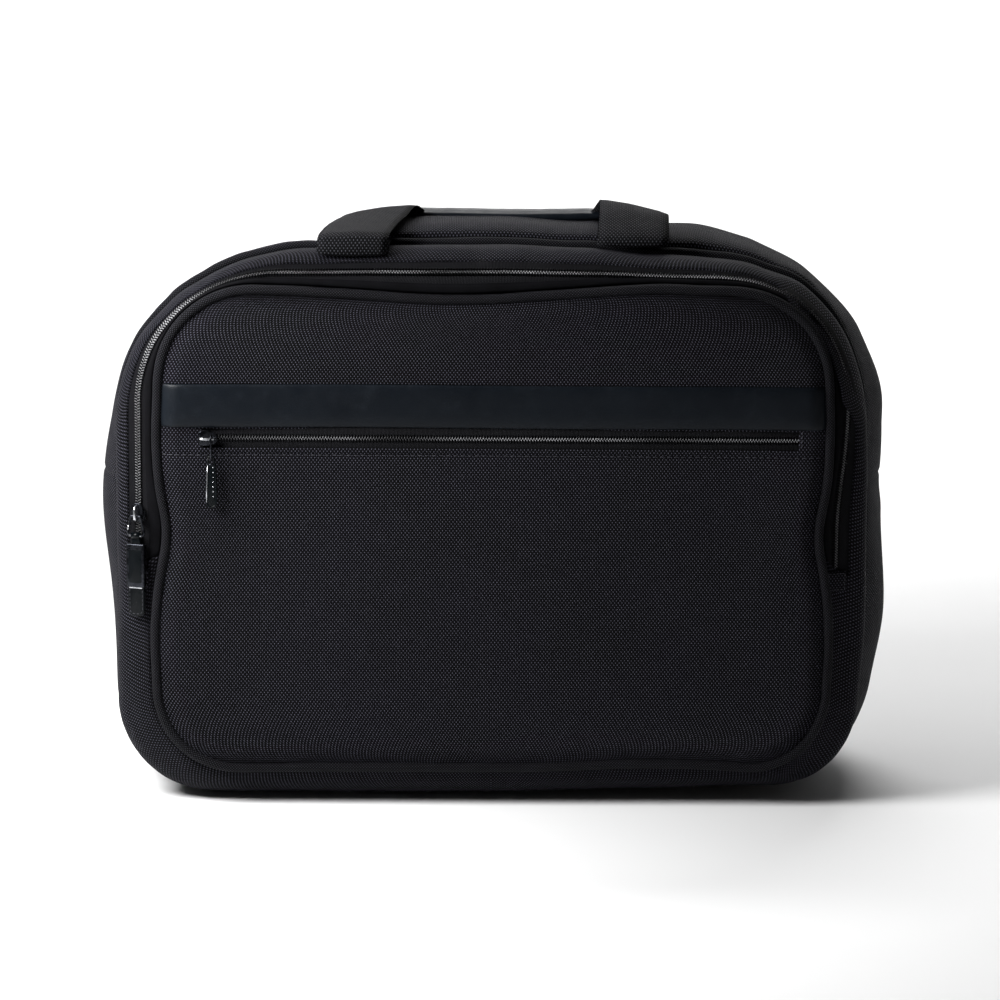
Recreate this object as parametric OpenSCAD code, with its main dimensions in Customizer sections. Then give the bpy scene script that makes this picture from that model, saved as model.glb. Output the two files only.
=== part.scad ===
// Flight bag: a soft-sided cabin case with a zipped front compartment, a zipped main compartment
// and two folding carry handles. Millimetres, +Z up, the front faces -Y, and the origin is the
// middle of the flat base.

/* [Main compartment] */
// Width over the main seam piping
body_w = 412; // [390:2:430]
// Height of the front edge of the main compartment
body_h = 306; // [296:2:316]
// Depth of the main compartment between its two piped seams
main_depth = 103; // [90:1:110]
// How far the filled gusset stands out past the seams at half height
side_bulge = 14; // [6:1:16]
// Crown of the top gusset above a straight line between the seams
top_crown = 4; // [3:1:5]
// Radius of the two upper corners
top_radius = 100; // [80:2:110]
// Radius of the two lower corners
bottom_radius = 54; // [46:1:60]
// Height where the main zip ends and the back leaf folds
leaf_fold_z = 170; // [160:1:180]

/* [Front compartment] */
// Width of the front panel over its piping
front_w = 366; // [350:2:370]
// Height of the front panel's lower edge above the base
front_z0 = 17; // [12:1:20]
// Height of the front panel's upper edge
front_z1 = 284; // [280:1:288]
// Depth of the front compartment
front_depth = 36; // [32:1:40]
// Height where the front zip ends and the front flap folds
flap_fold_z = 126; // [120:1:140]

/* [Trim] */
// Width of the leather band
band_w = 23.5; // [20:0.5:28]
// Height of the middle of the pocket zip
pocket_z = 201.5; // [196:0.5:206]
// Left end of the pocket zip
pocket_x0 = -155; // [-165:1:-150]
// Right end of the pocket zip
pocket_x1 = 165; // [150:1:172]
// Width of the handle webbing
webbing_w = 38; // [34:1:40]
// Thickness of the handle webbing
webbing_t = 1.6; // [1.2:0.1:2]

/* [Hidden] */

// Woven polyester, webbing, leather, zip tape, coil, hardware, foam and board colours.
cloth = [0.075, 0.075, 0.085];
web_black = [0.06, 0.06, 0.065];
hide = [0.05, 0.07, 0.09];
tape_black = [0.04, 0.04, 0.045];
coil_grey = [0.12, 0.12, 0.13];
gunmetal = [0.16, 0.17, 0.18];
foam_grey = [0.3, 0.3, 0.32];
board_brown = [0.25, 0.2, 0.15];

split = 0.3;             // half of the gap between a fixed piece and the one that folds away
corner_steps = 7;        // facets in a quarter turn of an outline
side_steps = 3;          // facets in a straight side
piping = 6;              // width of a piped edge
piping_d = 5;            // depth of a piped edge
cloth_t = 2;             // a gusset: fabric, interlining and binding
panel_t = 3;             // a fabric panel with its backing
foam_t = 4;              // foam sheet behind a panel
tape_t = 1;              // zip tape
coil_t = 2.4;            // zip coil, through its thickness
coil_edge = 3;           // from the zip line to the outer edge of the coil
seam_y = -33;            // plane where the gusset meets the front of the main compartment
back_y = seam_y + main_depth;
edge_y = seam_y - piping_d;                  // plane where the front compartment starts
front_y = edge_y - front_depth;              // plane of the front panel's seam
face_y = front_y - piping;                   // outermost face of the front panel
rear_y = back_y + piping_d;                  // outermost face of the back panel
back_h = body_h - 4;                         // height of the back panel
back_w = body_w - 6;                         // width of the back panel
main_zip_y = 46.5;                           // line of the main zip on the gusset
groove = 4;                                  // the front gusset starts inside the main piping
straight_d = 20;                             // straight part of the front gusset's profile
round_d = front_depth - straight_d;          // depth of its rounded part

// An outline is a list of [x, z, nx, nz]: a point and its outward direction.
// Arc of n facets about (cx, cz) from angle a0 to a1.
function arc(cx, cz, r, a0, a1, n = corner_steps) =
    [for (i = [0 : n]) let (a = a0 + (a1 - a0) * i / n)
        [cx + r * cos(a), cz + r * sin(a), cos(a), sin(a)]];
// Points up or down a straight side at x, without its last point.
function side(x, za, zb, n = side_steps) =
    [for (i = [0 : n - 1]) [x, za + (zb - za) * i / n, sign(x), 0]];
// Over the top from the left side at height zc to the right side at height zc.
function over(hw, z1, r, zc) = concat(
    side(-hw, zc, z1 - r), arc(-hw + r, z1 - r, r, 180, 90),
    arc(hw - r, z1 - r, r, 90, 0), [for (i = [1 : side_steps])
        [hw, z1 - r + (zc - z1 + r) * i / side_steps, 1, 0]]);
// Under the bottom from the left side at height zc to the right side at height zc.
function under(hw, z0, r, zc) = concat(
    side(-hw, zc, z0 + r), arc(-hw + r, z0 + r, r, 180, 270),
    arc(hw - r, z0 + r, r, 270, 360), [for (i = [1 : side_steps])
        [hw, z0 + r + (zc - z0 - r) * i / side_steps, 1, 0]]);
function flat(o) = [for (p = o) [p[0], p[1]]];
// Closed outline from its upper part o and its lower part u, which meet at the same height.
function loop(o, u) = concat(flat(o), [for (i = [len(u) - 2 : -1 : 1]) [u[i][0], u[i][1]]]);
function mix(a, b, t) = a * (1 - t) + b * t;

// Outlines of the three piped edges, inset by i.
function main_over(i, zc) = over(body_w / 2 - i, body_h - i, top_radius - i, zc);
function main_under(i, zc) = under(body_w / 2 - i, i, bottom_radius - i, zc);
function back_over(i, zc) = over(back_w / 2 - i, back_h - i, top_radius - 4 - i, zc);
function back_under(i, zc) = under(back_w / 2 - i, i, bottom_radius - i, zc);
function front_over(i, zc) = over(front_w / 2 - i, front_z1 - i, 56 - i, zc);
function front_under(i, zc) = under(front_w / 2 - i, front_z0 + i, 46 - i, zc);

// A closed slab between two grids of points: outer face p and inner face q.
module skin(p, q) {
    ni = len(p);
    nj = len(p[0]);
    half = ni * nj;
    points = [for (g = [p, q], row = g, v = row) v];
    function id(i, j) = i * nj + j;
    quads = concat(
        [for (i = [0 : ni - 2], j = [0 : nj - 2])
            [id(i, j), id(i + 1, j), id(i + 1, j + 1), id(i, j + 1)]],
        [for (i = [0 : ni - 2], j = [0 : nj - 2])
            [half + id(i, j + 1), half + id(i + 1, j + 1), half + id(i + 1, j), half + id(i, j)]],
        [for (i = [0 : ni - 2])
            [half + id(i, 0), half + id(i + 1, 0), id(i + 1, 0), id(i, 0)]],
        [for (i = [0 : ni - 2])
            [id(i, nj - 1), id(i + 1, nj - 1), half + id(i + 1, nj - 1), half + id(i, nj - 1)]],
        [for (j = [0 : nj - 2])
            [id(0, j), id(0, j + 1), half + id(0, j + 1), half + id(0, j)]],
        [for (j = [0 : nj - 2])
            [half + id(ni - 1, j), half + id(ni - 1, j + 1), id(ni - 1, j + 1), id(ni - 1, j)]]);
    polyhedron(points, [for (f = quads, t = [[f[0], f[1], f[2]], [f[0], f[2], f[3]]]) t]);
}

// Extrudes a profile drawn in X and Z from y0 back to y1.
module slab(y0, y1) {
    translate([0, y1, 0]) rotate([90, 0, 0]) linear_extrude(y1 - y0) children();
}
// Band between two outlines with the same number of points.
module band(outer, inner) {
    n = len(inner);
    polygon(concat(flat(outer), [for (i = [n - 1 : -1 : 0]) [inner[i][0], inner[i][1]]]));
}

// ---- Main gusset: swells between its seams at the sides, is flat on the ground ----
// Share of the side bulge at height z: full along the slider's travel, none at the corners.
function swell(z) = let (s = max(abs(z - 172) - 34, 0) / 80) s < 1 ? pow(cos(90 * s), 2) : 0;
// How far the gusset stands out at outline point o, a share t of the way to the back.
function bulge(o, t) = 4 * t * (1 - t) *
    (side_bulge * swell(o[1]) * abs(o[2]) + top_crown * max(o[3], 0));
function gusset_point(a, b, y, inward) =
    let (t = (y - seam_y) / main_depth, o = mix(a, b, t), d = bulge(o, t) - inward)
    [o[0] + d * o[2], y, o[1] + d * o[3]];
module gusset(a, b, ys, thick = cloth_t, inward = 0) {
    skin([for (i = [0 : len(a) - 1]) [for (y = ys) gusset_point(a[i], b[i], y, inward)]],
         [for (i = [0 : len(a) - 1]) [for (y = ys) gusset_point(a[i], b[i], y, inward + thick)]]);
}
function spread_y(y0, y1, n) = [for (i = [0 : n]) y0 + (y1 - y0) * i / n];
module top_gusset(y0, y1, n, z = leaf_fold_z, thick = cloth_t, inward = 0) {
    gusset(main_over(0, z), back_over(0, z), spread_y(y0, y1, n), thick, inward);
}
// One half of the zip's tape and coil, from the zip line outwards by the signed distances a to b.
module main_zip_band(a, b, z, thick, inward) {
    top_gusset(main_zip_y + min(a, b), main_zip_y + max(a, b), 1, z, thick, inward);
}
main_gap = 1.6;                              // from the zip line to each half of the coil
tape_edge = 6.5;                             // from the zip line to the edge of the tape
coil_start_z = leaf_fold_z + 14;             // the coil starts above the parked slider

module base_gusset() color(cloth)
    gusset(main_under(0, leaf_fold_z), back_under(0, leaf_fold_z), spread_y(seam_y, back_y, 6));
module top_strip_front() color(cloth) top_gusset(seam_y, main_zip_y - tape_edge, 5);
module top_strip_rear() color(cloth)
    top_gusset(main_zip_y + tape_edge, back_y, 2, leaf_fold_z + split);
module main_zip_tape_front() color(tape_black)
    main_zip_band(-tape_edge, -coil_edge, leaf_fold_z, tape_t, 0.7);
module main_zip_tape_rear() color(tape_black)
    main_zip_band(coil_edge, tape_edge, coil_start_z, tape_t, 0.7);
module main_zip_coil_front() color(coil_grey)
    main_zip_band(-coil_edge, -main_gap, coil_start_z, coil_t, 0);
module main_zip_coil_rear() color(coil_grey)
    main_zip_band(main_gap, coil_edge - 0.3, coil_start_z, coil_t, 0);
// Outermost X of the gusset at depth y, level with the parked slider, and its lean there.
function side_x(y) = let (o = [mix(body_w, back_w, (y - seam_y) / main_depth) / 2, leaf_fold_z, 1, 0])
    gusset_point(o, o, y, 0)[0];
main_tilt = atan((side_x(main_zip_y - coil_edge) - side_x(main_zip_y + coil_edge)) / coil_edge / 2);
module main_zip_end_tab(side) color(cloth)
    translate([side * side_x(main_zip_y), main_zip_y, leaf_fold_z - 13])
        rotate([0, 0, side * main_tilt]) translate([side * 0.6, 0, 0])
            cube([1.2, 15, 15], center = true);

// ---- Main compartment's stiff base, divider and back ----
module base_board() color(board_brown)
    translate([-body_w / 2 + 58, seam_y + 2, cloth_t]) cube([body_w - 116, main_depth - 4, 2.5]);
module ring(outer, inner, y0) color(cloth) slab(y0, y0 + piping_d) band(outer, inner);
ring_join = 150;                             // height where the two parts of an outline meet
function main_loop(i) = loop(main_over(i, ring_join), main_under(i, ring_join));
function front_loop(i) = loop(front_over(i, ring_join), front_under(i, ring_join));
module main_seam_piping() color(cloth) slab(edge_y, seam_y) difference() {
    polygon(main_loop(0));
    polygon(main_loop(piping));
}
module divider_panel() color(cloth) slab(seam_y - panel_t, seam_y) polygon(main_loop(piping));
module divider_foam() color(foam_grey) slab(seam_y, seam_y + foam_t) polygon(main_loop(12));
module back_panel_lower() color(cloth) slab(rear_y - panel_t, rear_y)
    polygon(flat(back_under(piping, leaf_fold_z - split)));
module back_foam_lower() color(foam_grey) slab(rear_y - panel_t - foam_t, rear_y - panel_t)
    polygon(flat(back_under(12, leaf_fold_z - split)));
module back_piping_lower() ring(back_under(0, leaf_fold_z - split),
                                back_under(piping, leaf_fold_z - split), back_y);
module back_panel_upper() color(cloth) slab(rear_y - panel_t, rear_y)
    polygon(flat(back_over(piping, leaf_fold_z + split)));
module back_foam_upper() color(foam_grey) slab(rear_y - panel_t - foam_t, rear_y - panel_t)
    polygon(flat(back_over(12, leaf_fold_z + split)));
module back_piping_upper() ring(back_over(0, leaf_fold_z + split),
                                back_over(piping, leaf_fold_z + split), back_y);

// ---- Front compartment's gusset: straight out from the main seam, then rounded to the panel ----
// Profile at p: 0 to 1 along the straight part, then 1 to 2 round the corner.
function gusset_depth(p) = p < 1 ? straight_d * p : straight_d + round_d * sin(90 * (p - 1));
function gusset_inset(p) = p < 1 ? 0 : 1 - cos(90 * (p - 1));
function front_normal(p) = p < 1 ? [1, 0] :
    let (w = (body_w - front_w) / 2 - groove, c = cos(90 * (p - 1)) / w, s = sin(90 * (p - 1)) / round_d)
    [c, s] / norm([c, s]);
function front_point(a, b, p, inward) =
    let (o = mix(a, b, gusset_inset(p)), n = front_normal(p))
    [o[0] - inward * n[0] * o[2], edge_y - gusset_depth(p) + inward * n[1],
     o[1] - inward * n[0] * o[3]];
module front_band(a, b, ps, thick = cloth_t, inward = 0) {
    skin([for (i = [0 : len(a) - 1]) [for (k = [len(ps) - 1 : -1 : 0])
             front_point(a[i], b[i], ps[k], inward)]],
         [for (i = [0 : len(a) - 1]) [for (k = [len(ps) - 1 : -1 : 0])
             front_point(a[i], b[i], ps[k], inward + thick)]]);
}
module front_top(ps, z, thick = cloth_t, inward = 0) {
    front_band(main_over(groove, z), front_over(0.5, z), ps, thick, inward);
}
zip_p = 1.74;                                // the zip line on the profile
mm_p = 1 / 28;                               // one millimetre along the rounded part
front_coil_z = flap_fold_z + 41;             // the coil starts above the parked slider
front_gap = 0.4;
strip_edge = 4.2;                            // from the zip line to the flap's own edge
module front_gusset_lower() color(cloth)
    front_band(main_under(groove, flap_fold_z - split), front_under(0.5, flap_fold_z - split),
               [0, 1, 1.33, 1.67, 2]);
module front_gusset_upper() color(cloth)
    front_top([0, 1, 1.25, zip_p - tape_edge * mm_p], flap_fold_z - split);
module front_zip_tape_outer() color(tape_black)
    front_top([zip_p - tape_edge * mm_p, zip_p - coil_edge * mm_p],
              flap_fold_z - split, tape_t, 0.7);
module front_zip_coil_outer() color(coil_grey)
    front_top([zip_p - coil_edge * mm_p, zip_p - front_gap * mm_p],
              front_coil_z, coil_t);
module front_zip_coil_inner() color(coil_grey)
    front_top([zip_p + front_gap * mm_p, zip_p + coil_edge * mm_p],
              front_coil_z, coil_t);
module front_zip_tape_inner() color(tape_black)
    front_top([zip_p + coil_edge * mm_p, zip_p + strip_edge * mm_p],
              front_coil_z, tape_t, 0.7);
module flap_strip() color(cloth) front_top([zip_p + strip_edge * mm_p, 2], flap_fold_z + split);
module front_zip_end_tab(side) color(cloth)
    zip_place(side, flap_fold_z - 8) translate([0, -0.6, 0]) cube([13, 1.2, 14], center = true);

// Turns the local frame so that -Y faces out of the front zip on the left (-1) or right (1) side.
zip_at = front_point([body_w / 2 - groove, 0, 1, 0], [front_w / 2 - 0.5, 0, 1, 0], zip_p, 0);
zip_turn = atan2(front_normal(zip_p)[0], front_normal(zip_p)[1]);
module zip_place(side, z)
    translate([side * zip_at[0], zip_at[1], z]) rotate([0, 0, side * zip_turn]) children();

// ---- Front panel ----
module front_plate(y0, y1, z0, z1) slab(y0, y1) intersection() {
    polygon(front_loop(piping));
    translate([-front_w, z0]) square([2 * front_w, z1 - z0]);
}
band_z0 = pocket_z + 5.5;
module front_panel_lower() color(cloth)
    front_plate(face_y, face_y + panel_t, 0, flap_fold_z - split);
module front_panel_middle() color(cloth)
    front_plate(face_y, face_y + panel_t, flap_fold_z + split, pocket_z - 4.8);
module front_panel_top() color(cloth)
    front_plate(face_y, face_y + panel_t, band_z0 + 1, front_z1);
module leather_band() color(hide)
    front_plate(face_y - 1.2, face_y, band_z0, band_z0 + band_w);
module pocket_zip_tape_upper() color(tape_black)
    front_plate(face_y + 1.2, face_y + 2.2, pocket_z + coil_edge, band_z0 + 1);
module pocket_zip_tape_lower() color(tape_black)
    front_plate(face_y + 1.2, face_y + 2.2, pocket_z - 4.8, pocket_z - coil_edge);
module pocket_zip_coil() color(coil_grey)
    translate([pocket_x0, face_y + 0.3, pocket_z]) difference() {
        translate([0, 0, -coil_edge]) cube([pocket_x1 - pocket_x0, coil_t, 2 * coil_edge]);
        translate([-1, -1, -front_gap])
            cube([pocket_x1 - pocket_x0 - 2, coil_t + 2, 2 * front_gap]);
    }
module pocket_pouch() color(tape_black)
    translate([pocket_x0, face_y + panel_t + 2, flap_fold_z + 6])
        cube([pocket_x1 - pocket_x0, 1.2, pocket_z - flap_fold_z + 22]);
module front_piping_lower() color(cloth) slab(face_y, front_y)
    band(front_under(0, flap_fold_z - split), front_under(piping, flap_fold_z - split));
module front_piping_upper() color(cloth) slab(face_y, front_y)
    band(front_over(0, flap_fold_z + split), front_over(piping, flap_fold_z + split));

// ---- Zip sliders and pulls. Local frame: +Z up along the zip, -Y out of the bag ----
slider_w = 8.6;
slider_l = 10;
plate_t = 1.1;
neck_t = 0.3;                                // web between the two halves of the coil
bridge_y = -4.6;                             // axis of the bridge wire, in front of the zip
module slider_body() color(gunmetal) {
    difference() {
        translate([-slider_w / 2, -plate_t - 0.5, 0]) cube([slider_w, plate_t, slider_l]);
        for (side = [-1, 1]) translate([side * (slider_w / 2 + 1.6), 0, slider_l])
            rotate([90, 0, 0]) cylinder(h = 8, r = 3.4, center = true, $fn = 32);
    }
    for (side = [-1, 1])
        translate([side * (slider_w / 2 - 0.5) - 0.5, -0.5, 0]) cube([1, 1.1, slider_l - 3.4]);
    translate([-neck_t / 2, -0.5, 0.5]) cube([neck_t, coil_t + 1.1, 4]);
    translate([-slider_w / 2, coil_t + 0.6, 0]) cube([slider_w, plate_t, slider_l - 3.4]);
    // Bridge: a wire arch from end to end that the pull hangs on.
    for (z = [1, slider_l - 1.8])
        translate([-0.9, bridge_y + 0.2, z]) cube([1.8, 3.2 - 0.3, 0.8]);
    translate([-0.9, bridge_y - 0.6, 1]) cube([1.8, 0.8, slider_l - 2]);
}
// Wire ring in the X-Z plane. Its top bar lies on the local origin, and it is l long.
module wire_ring(w, l, wire) color(gunmetal)
    rotate([90, 0, 0]) linear_extrude(wire, center = true) translate([0, wire / 2]) difference() {
        ring_blank(w, l + wire, 0);
        ring_blank(w, l + wire, wire);
    }
module ring_blank(w, l, inset) {
    hw = w / 2 - inset;
    r = 1.8 - inset * 0.7;
    z0 = -l + inset;
    polygon(concat([for (p = arc(-hw + r, z0 + r, r, 180, 270, 4)) [p[0], p[1]]],
                   [for (p = arc(hw - r, z0 + r, r, 270, 360, 4)) [p[0], p[1]]],
                   [[hw * 0.66, -inset], [-hw * 0.66, -inset]]));
}
// Flat tab in the X-Z plane from z = -top down to z = -l, w wide, with a round lower end.
module flat_tab(w, top, l, t) rotate([90, 0, 0]) linear_extrude(t, center = true)
    polygon(concat([[-w / 2, -top]],
                   [for (p = arc(0, -l + w / 2, w / 2, 180, 360, 8)) [p[0], p[1]]],
                   [[w / 2, -top]]));
// Tab with a round eye on the local origin, for a bar along X of half size bar.
module eye_tab(w, l, t, bar, eye_w) difference() {
    union() {
        rotate([0, 90, 0]) cylinder(h = eye_w, r = bar * 1.5 + 0.9, center = true, $fn = 32);
        flat_tab(eye_w, 0, bar + 5, t);
        flat_tab(w, bar + 1.6, l, t);
    }
    rotate([0, 90, 0]) cylinder(h = eye_w + 1, r = bar * 1.5 + 0.15, center = true, $fn = 32);
}

// Pocket zip: the slider lies on its side, and its pull hangs straight down.
link_y = face_y + 0.3 + bridge_y - 0.3;      // middle of the link, round the bridge wire
link_r = 1.9;                                // inner radius of the link's round upper end
link_l = 8.4;                                // from there to the corners of its square end
link_t = 0.9;
pocket_pull_x = pocket_x0 + 5;
module pocket_slider()
    translate([pocket_x0 - 2, face_y + 0.3, pocket_z]) rotate([0, 90, 0]) slider_body();
module pocket_pull_link() translate([pocket_pull_x - 1, link_y, pocket_z]) color(gunmetal)
    rotate([90, 0, 90]) linear_extrude(2) difference() {
        link_blank(link_r + link_t);
        link_blank(link_r);
    }
module link_blank(r) {
    circle(r, $fn = 32);
    translate([-r, -link_l - r]) square([2 * r, link_l + r]);
}
// The tab's window holds the lower end of the link.
link_bar_z = pocket_z - link_l - link_r - link_t / 2;
module pocket_pull_tab() translate([pocket_pull_x, link_y, link_bar_z]) color(gunmetal)
    difference() {
        flat_tab(7.6, -1.75, 27, 1.2);
        translate([0, 0, -0.125]) cube([2.6, 4, 2.55], center = true);
    }

// Front zip: the slider is parked low on the left, with a ring and a leather tab.
front_slider_z = flap_fold_z + 29;
ring_y = -3;                                 // plane of a ring, between bridge and slider
ring_z = 3.1;                                // height of its top bar above the slider's end
ring_l = 10.5;
ring_wire = 1.5;
tab_z = front_slider_z + ring_z - ring_l;
module front_slider() zip_place(-1, front_slider_z) slider_body();
module front_pull_ring() zip_place(-1, front_slider_z + ring_z) translate([0, ring_y, 0])
    wire_ring(10, ring_l, ring_wire);
module front_pull_strap() zip_place(-1, tab_z) translate([0, ring_y, 0]) color(hide)
    eye_tab(9.6, 44, 1.4, ring_wire / 2, 5);
module front_pull_sleeve() zip_place(-1, tab_z) translate([0, ring_y, 0]) color(gunmetal)
    difference() {
        translate([0, 0, -16]) cube([10.6, 3, 24], center = true);
        translate([0, 0, -16]) cube([9.6, 1.4, 40], center = true);
    }

// Main zip: the slider is parked low on the right side, behind the swelling of the gusset.
main_slider_z = leaf_fold_z + 2;
main_ring_l = 9;
module main_place(z)
    translate([side_x(main_zip_y), main_zip_y, z]) rotate([0, 0, 90 + main_tilt]) children();
module main_slider() main_place(main_slider_z) slider_body();
module main_pull_link() main_place(main_slider_z + ring_z) translate([0, ring_y, 0])
    wire_ring(8.5, main_ring_l, 1.3);
module main_pull_tab() main_place(main_slider_z + ring_z - main_ring_l) translate([0, ring_y, 0])
    color(gunmetal) eye_tab(7.5, 27, 1.6, 0.65, 3.8);

// ---- Handles ----
// A strap follows a path of [x, y, z] and lies across it: w is half of its width along X.
function strap_normal(path, i) =
    let (a = path[max(i - 1, 0)], b = path[min(i + 1, len(path) - 1)], d = b - a,
         n = norm([d[1], d[2]])) [0, -d[2] / n, d[1] / n];
module strap(path, widths, t) color(web_black)
    skin([for (i = [0 : len(path) - 1]) [for (s = [-1, 1])
             path[i] + [s * widths[i] / 2, 0, 0] + strap_normal(path, i) * t / 2]],
         [for (i = [0 : len(path) - 1]) [for (s = [-1, 1])
             path[i] + [s * widths[i] / 2, 0, 0] - strap_normal(path, i) * t / 2]]);
// Side view of a front strap as [y, z], from the seam up, over the top and into the grip.
front_side = [[-41.2, 304.2], [-38.6, 308.4], [-30, 311.6], [-14, 314], [4, 314.4], [17, 313],
              [27, 312.6]];
front_widths = [38, 38, 38, 38, 36, 31, 25] * webbing_w / 38;
// Puts a side view into space, leaning from x0 at the seam to x1 at the grip.
function lean(path, x0, x1) = [for (i = [0 : len(path) - 1])
    [mix(x0, x1, pow(i / (len(path) - 1), 1.4)), path[i][0], path[i][1]]];
front_left_x = -81;                          // where each strap leaves the seam
front_right_x = 77;
rear_strap_x = 79;
grip_x0 = -44;
grip_x1 = 62;
grip_w = 22;
grip_t = 7.6;
module front_strap(x0, x1) strap(lean(front_side, x0, x1), front_widths, webbing_t);
// Flat padded grip along X with rounded edges, cut open at both ends for the straps.
module grip(x0, x1) color(hide) difference() {
    translate([x0, 0, 0]) rotate([90, 0, 90]) linear_extrude(x1 - x0) hull()
        for (side = [-1, 1]) translate([side * (grip_w - grip_t) / 2, 0])
            circle(grip_t / 2, $fn = 32);
    for (x = [x0, x1]) translate([x, -grip_w / 4 - 1, 0])
        cube([22, grip_w / 2 + 3, webbing_t + 0.8], center = true);
}
module front_handle_grip() translate([0, 30, 312.6]) grip(grip_x0, grip_x1);
module front_handle_anchor(x) color(web_black)
    translate([x, edge_y - 4.2, body_h - groove - cloth_t - 0.8])
        cube([webbing_w, 8, 1.6], center = true);

rear_side = [[rear_y + 2.4, 293], [rear_y + 3.6, 286], [rear_y + 5, 262], [rear_y + 5.6, 236],
             [rear_y + 5.6, 219]];
rear_widths = [38, 38, 38, 31, 25] * webbing_w / 38;
module rear_strap(x0, x1) strap(lean(rear_side, x0, x1), rear_widths, webbing_t);
module rear_handle_grip() translate([0, rear_y + 5.6, 216]) rotate([-90, 0, 0]) grip(-53, 53);
module rear_handle_anchor(x) color(web_black)
    translate([x, rear_y + 0.5, back_h - 16]) cube([webbing_w, 1, 10], center = true);

base_gusset();
base_board();
divider_panel();
divider_foam();
main_seam_piping();
top_strip_front();
main_zip_tape_front();
main_zip_coil_front();
main_zip_end_tab(-1);  // main_zip_end_tab_left
main_zip_end_tab(1);  // main_zip_end_tab_right
back_panel_lower();
back_foam_lower();
back_piping_lower();
front_gusset_lower();
front_gusset_upper();
front_zip_tape_outer();
front_zip_coil_outer();
front_zip_end_tab(-1);  // front_zip_end_tab_left
front_zip_end_tab(1);  // front_zip_end_tab_right
front_panel_lower();
front_piping_lower();
front_handle_anchor(front_left_x);  // front_handle_anchor_left
front_handle_anchor(front_right_x);  // front_handle_anchor_right
front_panel_middle();
front_panel_top();
leather_band();
pocket_zip_tape_upper();
pocket_zip_tape_lower();
pocket_zip_coil();
pocket_pouch();
front_piping_upper();
flap_strip();
front_zip_tape_inner();
front_zip_coil_inner();
pocket_slider();
pocket_pull_link();
pocket_pull_tab();
front_slider();
front_pull_ring();
front_pull_strap();
front_pull_sleeve();
back_panel_upper();
back_foam_upper();
back_piping_upper();
top_strip_rear();
main_zip_tape_rear();
main_zip_coil_rear();
rear_handle_anchor(-rear_strap_x);  // rear_handle_anchor_left
rear_handle_anchor(rear_strap_x);  // rear_handle_anchor_right
main_slider();
main_pull_link();
main_pull_tab();
front_strap(front_left_x, grip_x0 - 3);  // front_handle_webbing_left
front_strap(front_right_x, grip_x1 + 3);  // front_handle_webbing_right
front_handle_grip();
rear_strap(-rear_strap_x, -56);  // rear_handle_webbing_left
rear_strap(rear_strap_x, 56);  // rear_handle_webbing_right
rear_handle_grip();
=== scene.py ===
"""Soft flight bag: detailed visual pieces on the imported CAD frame."""
import math

import bmesh
import bpy
import numpy as np
from mathutils import Matrix, Vector, noise


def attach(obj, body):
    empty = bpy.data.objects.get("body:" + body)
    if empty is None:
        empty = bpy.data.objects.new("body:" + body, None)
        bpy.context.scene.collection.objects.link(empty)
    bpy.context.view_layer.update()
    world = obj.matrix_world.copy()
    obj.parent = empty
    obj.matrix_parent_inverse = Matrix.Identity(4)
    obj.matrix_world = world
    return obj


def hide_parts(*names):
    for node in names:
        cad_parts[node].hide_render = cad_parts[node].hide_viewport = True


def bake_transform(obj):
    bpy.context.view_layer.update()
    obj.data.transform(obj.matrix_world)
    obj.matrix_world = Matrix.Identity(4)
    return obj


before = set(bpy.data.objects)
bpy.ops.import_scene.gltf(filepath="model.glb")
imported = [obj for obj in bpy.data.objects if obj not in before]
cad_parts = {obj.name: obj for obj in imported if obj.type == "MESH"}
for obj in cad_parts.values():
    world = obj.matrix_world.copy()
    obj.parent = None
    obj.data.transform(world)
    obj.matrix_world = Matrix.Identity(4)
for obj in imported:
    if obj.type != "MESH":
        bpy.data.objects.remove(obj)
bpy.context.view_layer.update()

MM = 0.001

# --- Sizes in millimetres. They repeat the part's source: X right, Y back, Z up.
BODY_W, BODY_H = 412.0, 306.0
BACK_W, BACK_H = 406.0, 302.0
FRONT_W, FRONT_Z0, FRONT_Z1 = 366.0, 17.0, 284.0
TOP_R, BOTTOM_R = 100.0, 54.0
FRONT_TOP_R, FRONT_BOTTOM_R = 56.0, 46.0
MIDDLE_Z = 155.0
MAIN_DEPTH = 103.0
SEAM_Y, BACK_Y = -33.0, 70.0
EDGE_Y, FACE_Y = -38.0, -80.0
REAR_Y = 75.0
GROOVE = 4.0
STRAIGHT_D, ROUND_D = 20.0, 16.0
MAIN_ZIP_Y = 46.5
TAPE_EDGE, TAPE_SINK, COIL_GAP = 6.5, 0.9, 1.2
LEAF_FOLD_Z, FLAP_FOLD_Z = 170.0, 126.0
ZIP_P = 1.74
MM_P = 1 / 28
BAND_Z0, BAND_W = 207.0, 23.5
POCKET_Z, POCKET_X0, POCKET_X1 = 201.5, -155.0, 165.0
PIPING_R, PIPING_WAVE = 2.4, 0.35


# --- Small mathematics
def smooth(x, a, b):
    """0 before a, 1 after b, smooth between; b may be below a."""
    t = min(max((x - a) / (b - a), 0.0), 1.0)
    return t * t * (3 - 2 * t)


def bump(x, centre, width):
    """Gaussian of height 1."""
    return math.exp(-(((x - centre) / width) ** 2))


def through(x, knots):
    """Smooth interpolation through (position, value) knots."""
    if x <= knots[0][0]:
        return knots[0][1]
    for (x0, y0), (x1, y1) in zip(knots, knots[1:]):
        if x <= x1:
            return y0 + (y1 - y0) * smooth(x, x0, x1)
    return knots[-1][1]


def mix(a, b, t):
    return a + (b - a) * t


def rumple(x, y, z, size, seed):
    """Smooth noise from about -1 to 1, size millimetres from fold to fold."""
    return noise.noise(Vector((x / size + seed, y / size - seed, z / size + 2 * seed)))


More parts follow.
